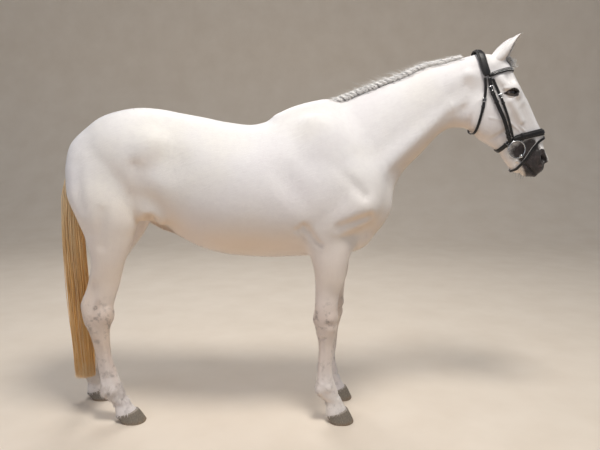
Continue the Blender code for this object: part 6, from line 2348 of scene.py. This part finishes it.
STRAP_SHAPE = (
    (-0.50, 0.30), (-0.47, 0.08), (-0.40, 0.0), (0.0, 0.0), (0.40, 0.0), (0.47, 0.08), (0.50, 0.30), (0.49, 0.62),
    (0.44, 0.86), (0.34, 0.97), (0.0, 1.0), (-0.34, 0.97), (-0.44, 0.86), (-0.49, 0.62),
)
PAD_SHAPE = (
    (-0.50, 0.36), (-0.46, 0.10), (-0.38, 0.0), (0.0, 0.0), (0.38, 0.0), (0.46, 0.10), (0.50, 0.36), (0.48, 0.60),
    (0.42, 0.68), (0.385, 0.62), (0.35, 0.76), (0.20, 0.96), (0.0, 1.0), (-0.20, 0.96), (-0.35, 0.76),
    (-0.385, 0.62), (-0.42, 0.68), (-0.48, 0.60),
)


def add_strap(made, run, width, thick, shape=STRAP_SHAPE, first=0.0, last=1.0, base=0.0, point=False, aside=0.0):
    """Adds one strap along a run to a bmesh: from share first to share last, base above the run, aside across it."""
    whole = run.closed and first == 0.0 and last == 1.0
    picks = run.steps(first, last)
    rings = []
    for number, i in enumerate(picks):
        left = (len(picks) - 1 - number) / 3.0
        size = 1.0
        if not whole:
            size = min(
                1.0, 0.55 + 0.45 * number, (0.35 if point else 0.75) + (0.65 if point else 0.25) * min(1.0, left)
            )
        ring = []
        for a, h in shape:
            spot = run.line[i] + run.across[i] * (a * width * size + aside) + run.up[i] * (base + h * thick)
            ring.append(made.verts.new(spot))
        rings.append(ring)
    lace(made, rings + rings[:1] if whole else rings)
    if not whole:
        made.faces.new(rings[0][::-1])
        made.faces.new(rings[-1])


def piece_from(name, made, material_made, slot_name, *nodes):
    """Finishes a bmesh made in the builder's frame as one riding piece."""
    bmesh.ops.recalc_face_normals(made, faces=made.faces[:])
    mesh = smooth_mesh(made, name)
    shifted(mesh)
    piece = link_object(name, mesh)
    mesh.materials.append(material_made)
    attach(piece, "root")
    if nodes:
        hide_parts(*nodes)
    return piece


def leather(name, colour, worn, rough, grain=0.00022):
    """Curried hide: fine pebbled grain, waxed and rubbed, paler in broad worn patches."""
    made, tree, shader = finish(name, rough, Specular_IOR_Level=0.45, Coat_Weight=0.12, Coat_Roughness=0.35)
    place = add(tree, "ShaderNodeTexCoord", output="Object")
    broad = add(tree, "ShaderNodeTexNoise", {}, {"Vector": place, "Scale": 35.0, "Detail": 4.0, "Roughness": 0.55})
    pores = add(
        tree, "ShaderNodeTexVoronoi", {"feature": "DISTANCE_TO_EDGE"}, {"Vector": place, "Scale": 900.0}, "Distance"
    )
    tree.links.new(
        add(
            tree, "ShaderNodeMix", COLOURS,
            {0: add(tree, "ShaderNodeMapRange", SMOOTH, (broad, 0.50, 0.78, 0.0, 0.55)), 6: colour, 7: worn}, 2
        ),
        shader.inputs["Base Color"]
    )
    tree.links.new(
        add(tree, "ShaderNodeMapRange", SMOOTH, (broad, 0.3, 0.7, rough - 0.07, rough + 0.10)),
        shader.inputs["Roughness"]
    )
    bump(tree, shader, [(broad, 0.0006), (pores, grain)])
    return made


black_leather = leather("black bridle leather", "#141213", "#2a2728", 0.40)
pad_leather = leather("soft black padding leather", "#1a1819", "#302d2e", 0.52, 0.0004)
# Pale leather for the cords that stand for the glint on strap edges: painted highlight.
edge_highlight_leather = leather("pale leather for painted edge highlights", "#b9b6b4", "#d3d1d0", 0.50)

HEADPIECE = ((0.884, 1.872), (0.891, 1.838), (0.901, 1.792), (0.915, 1.750))
BROWBAND = ((1.052, 1.784), (1.022, 1.782), (0.985, 1.773), (0.948, 1.760), (0.922, 1.751))
CHEEKPIECE = (
    (0.924, 1.742), (0.933, 1.691), (0.951, 1.645), (0.973, 1.597), (1.000, 1.545), (1.021, 1.498), (1.046, 1.442),
    (1.052, 1.430)
)
HANGER = ((0.940, 1.737), (0.967, 1.680), (0.996, 1.615), (1.024, 1.550), (1.045, 1.500), (1.062, 1.455))
THROATLASH = ((0.902, 1.742), (0.907, 1.680), (0.902, 1.625), (0.894, 1.575), (0.882, 1.515), (0.868, 1.452))
NOSEBAND = ((1.227, 1.480), (1.196, 1.476), (1.147, 1.465), (1.098, 1.453), (1.066, 1.442))
CHIN_STRAP = ((1.066, 1.442), (1.054, 1.434), (1.029, 1.410), (1.007, 1.388), (0.992, 1.372))
FLASH = ((1.232, 1.452), (1.206, 1.437), (1.168, 1.395), (1.137, 1.345), (1.098, 1.296))
BIT_CENTRE = (1.084, 0.064, 1.392)
BIT_RADIUS = 0.043

head_run = Run(HEADPIECE, (True, False), both=True)
brow_run = Run(BROWBAND, (True, False), both=True)
nose_run = Run(NOSEBAND, (True, False), both=True)
chin_run = Run(CHIN_STRAP, (False, True), both=True)
throat_run = Run(THROATLASH, (False, True), both=True)
flash_run = Run(FLASH, (True, True), both=True)
cheek_runs = {side: Run(CHEEKPIECE, side=side, lift=(0.0045, 0.010)) for side in (-1, 1)}
hanger_runs = {side: Run(HANGER, side=side, lift=(0.0015, 0.0035)) for side in (-1, 1)}


def add_leather(name, colour, nodes, *straps):
    """One piece of one or more straps, each a run, its width and thickness, and what else it needs."""
    made = bmesh.new()
    for run, width, thick, extra in straps:
        add_strap(made, run, width, thick, **extra)
    piece_from(name, made, colour, "leather", *nodes)


PADDED = {"shape": PAD_SHAPE}
add_leather("headpiece_pad", pad_leather, ["headpiece"], (head_run, 0.040, 0.0085, PADDED))
add_leather("headpiece_strap", black_leather, [], (head_run, 0.024, 0.0035, {"base": 0.0075}))
add_leather("browband_strap", black_leather, ["browband"], (brow_run, 0.021, 0.0060, PADDED))
add_leather("noseband_pad", pad_leather, ["noseband"], (nose_run, 0.035, 0.0088, PADDED))
add_leather("noseband_strap", black_leather, [], (nose_run, 0.018, 0.0032, {"base": 0.0080}))
add_leather(
    "chin_strap_leather", black_leather, ["chin_strap"], (chin_run, 0.022, 0.0045, {}),
    (chin_run, 0.015, 0.0030, {"base": 0.0042, "first": 0.02, "last": 0.40, "point": True}),
)
add_leather(
    "throatlash_strap", black_leather, ["throatlash"], (throat_run, 0.013, 0.0035, {}),
    (throat_run, 0.014, 0.0032, {"base": 0.0034, "last": 0.28, "point": True}),
)
add_leather("flash_strap_leather", black_leather, ["flash_strap"], (flash_run, 0.014, 0.0036, {}))
for side, word in ((-1, "right"), (1, "left")):
    add_leather(
        "cheek_strap_" + word, black_leather, ["cheekpiece_" + word], (cheek_runs[side], 0.019, 0.0038, {}),
        (cheek_runs[side], 0.017, 0.0032, {"base": 0.0036, "last": 0.42, "point": True}),
        (cheek_runs[side], 0.017, 0.0032, {"base": 0.0036, "first": 0.80}),
    )
    add_leather("noseband_hanger_" + word, black_leather, [], (hanger_runs[side], 0.013, 0.0032, {}))


def add_tube(made, line, radius, closed=False, sides=8):
    """Adds a round cord of leather or wire along points to a bmesh."""
    line = np.asarray(line, float)
    onward = np.roll(line, -1, 0) - np.roll(line, 1, 0) if closed else np.gradient(line, axis=0)
    onward /= np.linalg.norm(onward, axis=1)[:, None]
    guide = np.cross(onward[0], (0.31, 0.53, 0.79))
    guide /= np.linalg.norm(guide)
    rings = []
    for spot, way in zip(line, onward):
        guide = guide - way * (guide @ way)
        guide /= np.linalg.norm(guide)
        other = np.cross(way, guide)
        turns = [2 * math.pi * k / sides for k in range(sides)]
        rings.append([made.verts.new(spot + radius * (guide * math.cos(t) + other * math.sin(t))) for t in turns])
    if closed:
        # The last ring is joined to the first at the turn that fits best, so that the cord doesn't wring.
        offset = min(range(sides), key=lambda k: (rings[-1][0].co - rings[0][k].co).length)
        rings.append(rings[0][offset:] + rings[0][:offset])
    lace(made, rings)
    if not closed:
        made.faces.new(rings[0][::-1])
        made.faces.new(rings[-1])


# Pale cords along the lower edges of the noseband pad and of the flash strap: painted edge highlights.
made = bmesh.new()
add_tube(made, nose_run.line + nose_run.across * -0.0178 + nose_run.up * 0.0032, 0.0013)
add_tube(made, flash_run.line + flash_run.across * 0.0074 + flash_run.up * 0.0016, 0.0009, True)
piece_from("piping", made, edge_highlight_leather, "leather")


# ---------------------------------------------------------------- stitching and beads
# Waxed thread in stitches 3 mm long along both edges of the straps, and two rows of round glass beads sewn to the
# browband.


def row_tree():
    """Sets a small thing at even steps along lines, standing on their up vectors."""
    group, given, found = tree_for("small things in rows", {
        "Thing": ("Object", None), "Spacing": ("Float", 0.004), "Size": ("Float", 0.001),
        "Finish": ("Material", None),
    })
    take = given.outputs
    curves = add(group, "GeometryNodeMeshToCurve", inputs={"Mesh": take["Geometry"]})
    even = add(group, "GeometryNodeResampleCurve", {"mode": "LENGTH"}, {"Curve": curves, "Length": take["Spacing"]})
    tangent = add(group, "GeometryNodeInputTangent")
    up = add(group, "GeometryNodeInputNamedAttribute", {"data_type": "FLOAT_VECTOR"}, ("up",))
    stand = add(
        group, "FunctionNodeAxesToRotation", {"primary_axis": "Y", "secondary_axis": "Z"}, {0: tangent, 1: up}
    )
    thing = add(group, "GeometryNodeObjectInfo", inputs={"Object": take["Thing"]}, output="Geometry")
    placed_things = add(
        group, "GeometryNodeInstanceOnPoints",
        inputs={"Points": even, "Instance": thing, "Rotation": stand, "Scale": take["Size"]}
    )
    real = add(group, "GeometryNodeRealizeInstances", inputs={"Geometry": placed_things})
    done = add(group, "GeometryNodeSetMaterial", inputs={"Geometry": real, "Material": take["Finish"]})
    add(group, "NodeGroupOutput", inputs={"Geometry": done}, output=None)
    return group, found


ROWS, row_found = row_tree()


def small_thing(name, lengthen):
    """A little rounded body, drawn out along Y."""
    made = bmesh.new()
    bmesh.ops.create_icosphere(made, subdivisions=1, radius=1.0)
    for v in made.verts:
        v.co.y *= lengthen
    thing = link_object(name, smooth_mesh(made, name))
    thing.hide_render = True
    return thing


def row_piece(name, rows, thing, spacing, size, material_made):
    """One piece of small things along rows, each row a line of points and their ups."""
    points = np.concatenate([line for line, up in rows]) + SHIFT
    ups = np.concatenate([up for line, up in rows])
    edges = []
    start = 0
    for line, up in rows:
        edges += [(start + i, start + i + 1) for i in range(len(line) - 1)]
        start += len(line)
    mesh = bpy.data.meshes.new(name + "_rows")
    mesh.from_pydata(points.tolist(), edges, [])
    store(mesh, "up", ups, "FLOAT_VECTOR")
    source = link_object(name + "_rows", mesh)
    values = {"Thing": thing, "Spacing": spacing, "Size": size, "Finish": material_made}
    piece = grown_from(source, ROWS, row_found, values, name)
    bpy.data.objects.remove(source)
    if "up" in piece.data.attributes:
        piece.data.attributes.remove(piece.data.attributes["up"])
    piece.data.shade_smooth()
    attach(piece, "root")


def edge_rows(run, width, height, first=0.0, last=1.0, inset=0.0022):
    """Lines for stitching along both edges of a strap."""
    picks = run.steps(first, last)
    rows = []
    for side in (-1, 1):
        line = run.line[picks] + run.across[picks] * side * (width / 2 - inset) + run.up[picks] * height
        rows.append((line, run.up[picks]))
    return rows


thread, tree, shader = finish("waxed grey thread", 0.6, Specular_IOR_Level=0.3)
place = add(tree, "ShaderNodeTexCoord", output="Object")
tree.links.new(
    add(
        tree, "ShaderNodeValToRGB", {"stops": [(0.35, "#4c4845"), (0.65, "#6e6965")]},
        (add(tree, "ShaderNodeTexNoise", {}, {"Vector": place, "Scale": 1500.0, "Detail": 2.0, "Roughness": 0.55}),)
    ),
    shader.inputs["Base Color"]
)
bump(
    tree, shader,
    [
        (
            add(
                tree, "ShaderNodeTexNoise", {}, {"Vector": place, "Scale": 2200.0, "Detail": 2.0, "Roughness": 0.55}
            ),
            0.0002
        )
    ]
)
stitched = [
    (head_run, 0.024, 0.0106), (nose_run, 0.018, 0.0109), (brow_run, 0.021, 0.0036, 0.0, 1.0, 0.0012),
    (head_run, 0.040, 0.0052, 0.0, 1.0, 0.0045), (nose_run, 0.035, 0.0054, 0.0, 1.0, 0.0040),
    (chin_run, 0.022, 0.0044), (flash_run, 0.014, 0.0034, 0.0, 1.0, 0.0016),
    (throat_run, 0.013, 0.0066, 0.0, 0.26, 0.0018),
]
for side in (-1, 1):
    stitched += [
        (cheek_runs[side], 0.019, 0.0036, 0.40, 0.82, 0.0018),
        (cheek_runs[side], 0.017, 0.0068, 0.02, 0.40, 0.0018),
        (hanger_runs[side], 0.013, 0.0031, 0.0, 1.0, 0.0016),
    ]
rows = sum((edge_rows(*row) for row in stitched), [])
row_piece("stitching", rows, small_thing("stitch", 2.6), 0.0042, 0.00052, thread)

glass, tree, shader = finish(
    "silvered glass beads", 0.08, Specular_IOR_Level=0.8, Coat_Weight=0.6, Coat_Roughness=0.05
)
place = add(tree, "ShaderNodeTexCoord", output="Object")
tree.links.new(
    add(
        tree, "ShaderNodeValToRGB", {"stops": [(0.40, "#b9bcc0"), (0.60, "#f4f4f2")]},
        (add(tree, "ShaderNodeTexNoise", {}, {"Vector": place, "Scale": 260.0, "Detail": 1.0, "Roughness": 0.55}),)
    ),
    shader.inputs["Base Color"]
)
bump(
    tree, shader,
    [
        (
            add(
                tree, "ShaderNodeTexNoise", {}, {"Vector": place, "Scale": 900.0, "Detail": 1.0, "Roughness": 0.55}
            ),
            0.0001
        )
    ]
)
brow_part = slice(4, -4)
beads = []
for aside in (-0.0034, 0.0034):
    line = brow_run.line + brow_run.across * aside + brow_run.up * 0.0066
    beads.append((line[brow_part], brow_run.up[brow_part]))
row_piece("browband_beads", beads, small_thing("bead", 1.0), 0.0062, 0.0020, glass)

# ---------------------------------------------------------------- buckles, keepers and bit
# Stainless buckles bent from 3 mm wire with a tongue each; leather keepers for the strap ends; a loose-ring snaffle
# whose mouthpiece runs through the corners of the mouth.
steel, tree, shader = finish("polished stainless steel", 0.20, Metallic=1.0)
place = add(tree, "ShaderNodeTexCoord", output="Object")
wear = add(tree, "ShaderNodeTexNoise", {}, {"Vector": place, "Scale": 240.0, "Detail": 4.0, "Roughness": 0.55})
tree.links.new(
    add(tree, "ShaderNodeValToRGB", {"stops": [(0.3, "#a9abae"), (0.7, "#cfd0d2")]}, (wear,)),
    shader.inputs["Base Color"]
)
tree.links.new(add(tree, "ShaderNodeMapRange", SMOOTH, (wear, 0.3, 0.7, 0.14, 0.30)), shader.inputs["Roughness"])
bump(tree, shader, [(wear, 0.0001)])


def add_buckle(made, run, share, wide, tall, height):
    """A rectangular wire buckle with rounded corners across a strap, and its tongue."""
    spot, onward, up, across = run.at(share)
    loop = []
    for k in range(40):
        angle = 2 * math.pi * (k + 0.5) / 40
        c, s = math.cos(angle), math.sin(angle)
        size = (abs(c) ** 5 + abs(s) ** 5) ** (-1 / 5)
        bow = 0.0022 * (1 - (s * size) ** 2)
        loop.append(spot + across * (c * size * wide / 2) + onward * (s * size * tall / 2) + up * (height + bow))
    add_tube(made, loop, 0.00155, True)
    tongue = [
        spot + onward * t * tall / 2 + up * (height + 0.0016 + 0.0016 * (1 - t * t))
        for t in np.linspace(-1.0, 1.05, 9)
    ]
    add_tube(made, tongue, 0.0011)


def add_keeper(made, run, share, wide, height, long=0.008):
    """A leather loop round a strap: seen as a band over it that turns down at both edges."""
    spot, onward, up, across = run.at(share)
    outline = [(-0.5, -0.6), (-0.54, 0.2), (-0.47, 1.0), (0.0, 1.12), (0.47, 1.0), (0.54, 0.2), (0.5, -0.6)]
    rings = []
    for along_it, shrink in ((-0.5, 0.86), (-0.42, 1.0), (0.42, 1.0), (0.5, 0.86)):
        outer = [
            spot + across * a * wide + up * (height * h * (1 if h < 0 else shrink)) + onward * along_it * long
            for a, h in outline
        ]
        inner = [
            spot + across * a * wide * 0.86 + up * (height * h - 0.0018) + onward * along_it * long
            for a, h in outline
        ]
        rings.append([made.verts.new(q) for q in outer + inner[::-1]])
    lace(made, rings)
    count = len(rings[0])
    for ring in (rings[0], rings[-1]):
        for k in range(count // 2 - 1):
            made.faces.new((ring[k], ring[k + 1], ring[count - 2 - k], ring[count - 1 - k]))


def add_ring(made, side):
    """The loose ring, lying against the cheek, and the end of the mouthpiece that it runs through."""
    loop = []
    tilt = side * 0.12
    for i in range(72):
        angle = 2 * math.pi * i / 72
        way = np.array([math.cos(angle), -tilt * math.cos(angle + 0.6), math.sin(angle)])
        loop.append(np.array([BIT_CENTRE[0], side * BIT_CENTRE[1], BIT_CENTRE[2]]) + way * BIT_RADIUS)
    add_tube(made, loop, 0.0034, True, 12)
    near = loop[62]
    inside = np.array([near[0] + 0.012, side * 0.020, near[2] - 0.006])
    t = np.linspace(0, 1, 14)[:, None]
    outside = near + np.array([-0.004, side * 0.004, 0.002])
    line = outside + (inside - outside) * t
    add_tube(made, line, 0.0080, False, 14)
    knuckle = [outside + (inside - outside) * s for s in np.linspace(-0.02, 0.16, 6)]
    add_tube(made, knuckle, 0.0098, False, 14)


for side in (-1, 1):
    word = "right" if side < 0 else "left"
    made = bmesh.new()
    add_buckle(made, cheek_runs[side], 0.16, 0.027, 0.024, 0.0060)
    add_buckle(made, hanger_runs[side], 0.30, 0.021, 0.019, 0.0040)
    add_buckle(made, throat_run, 0.165 if side < 0 else 0.835, 0.020, 0.018, 0.0060)
    add_buckle(made, chin_run, 0.12 if side < 0 else 0.88, 0.029, 0.024, 0.0060)
    piece_from("buckles_" + word, made, steel, "steel")
    made = bmesh.new()
    add_keeper(made, cheek_runs[side], 0.24, 0.0205, 0.0085)
    add_keeper(made, cheek_runs[side], 0.36, 0.0205, 0.0085)
    add_keeper(made, cheek_runs[side], 0.84, 0.0205, 0.0085)
    add_keeper(made, cheek_runs[side], 0.91, 0.0205, 0.0085)
    add_keeper(made, hanger_runs[side], 0.42, 0.0150, 0.0050)
    add_keeper(made, throat_run, 0.215 if side < 0 else 0.785, 0.0160, 0.0080)
    add_keeper(made, nose_run, 0.12 if side > 0 else 0.88, 0.0370, 0.0125, 0.010)
    add_keeper(made, chin_run, 0.20 if side < 0 else 0.80, 0.0235, 0.0088)
    piece_from("keepers_" + word, made, black_leather, "leather")
    made = bmesh.new()
    add_ring(made, side)
    piece_from("snaffle_" + word, made, steel, "steel", "bit_ring_" + word)

# ---------------------------------------------------------------- pattern shapes
# The four small shapes that were only patterns for tufts, stitches and beads go.
for pattern in ("flat_tuft", "fringe_tuft", "stitch", "bead"):
    bpy.data.objects.remove(bpy.data.objects[pattern])
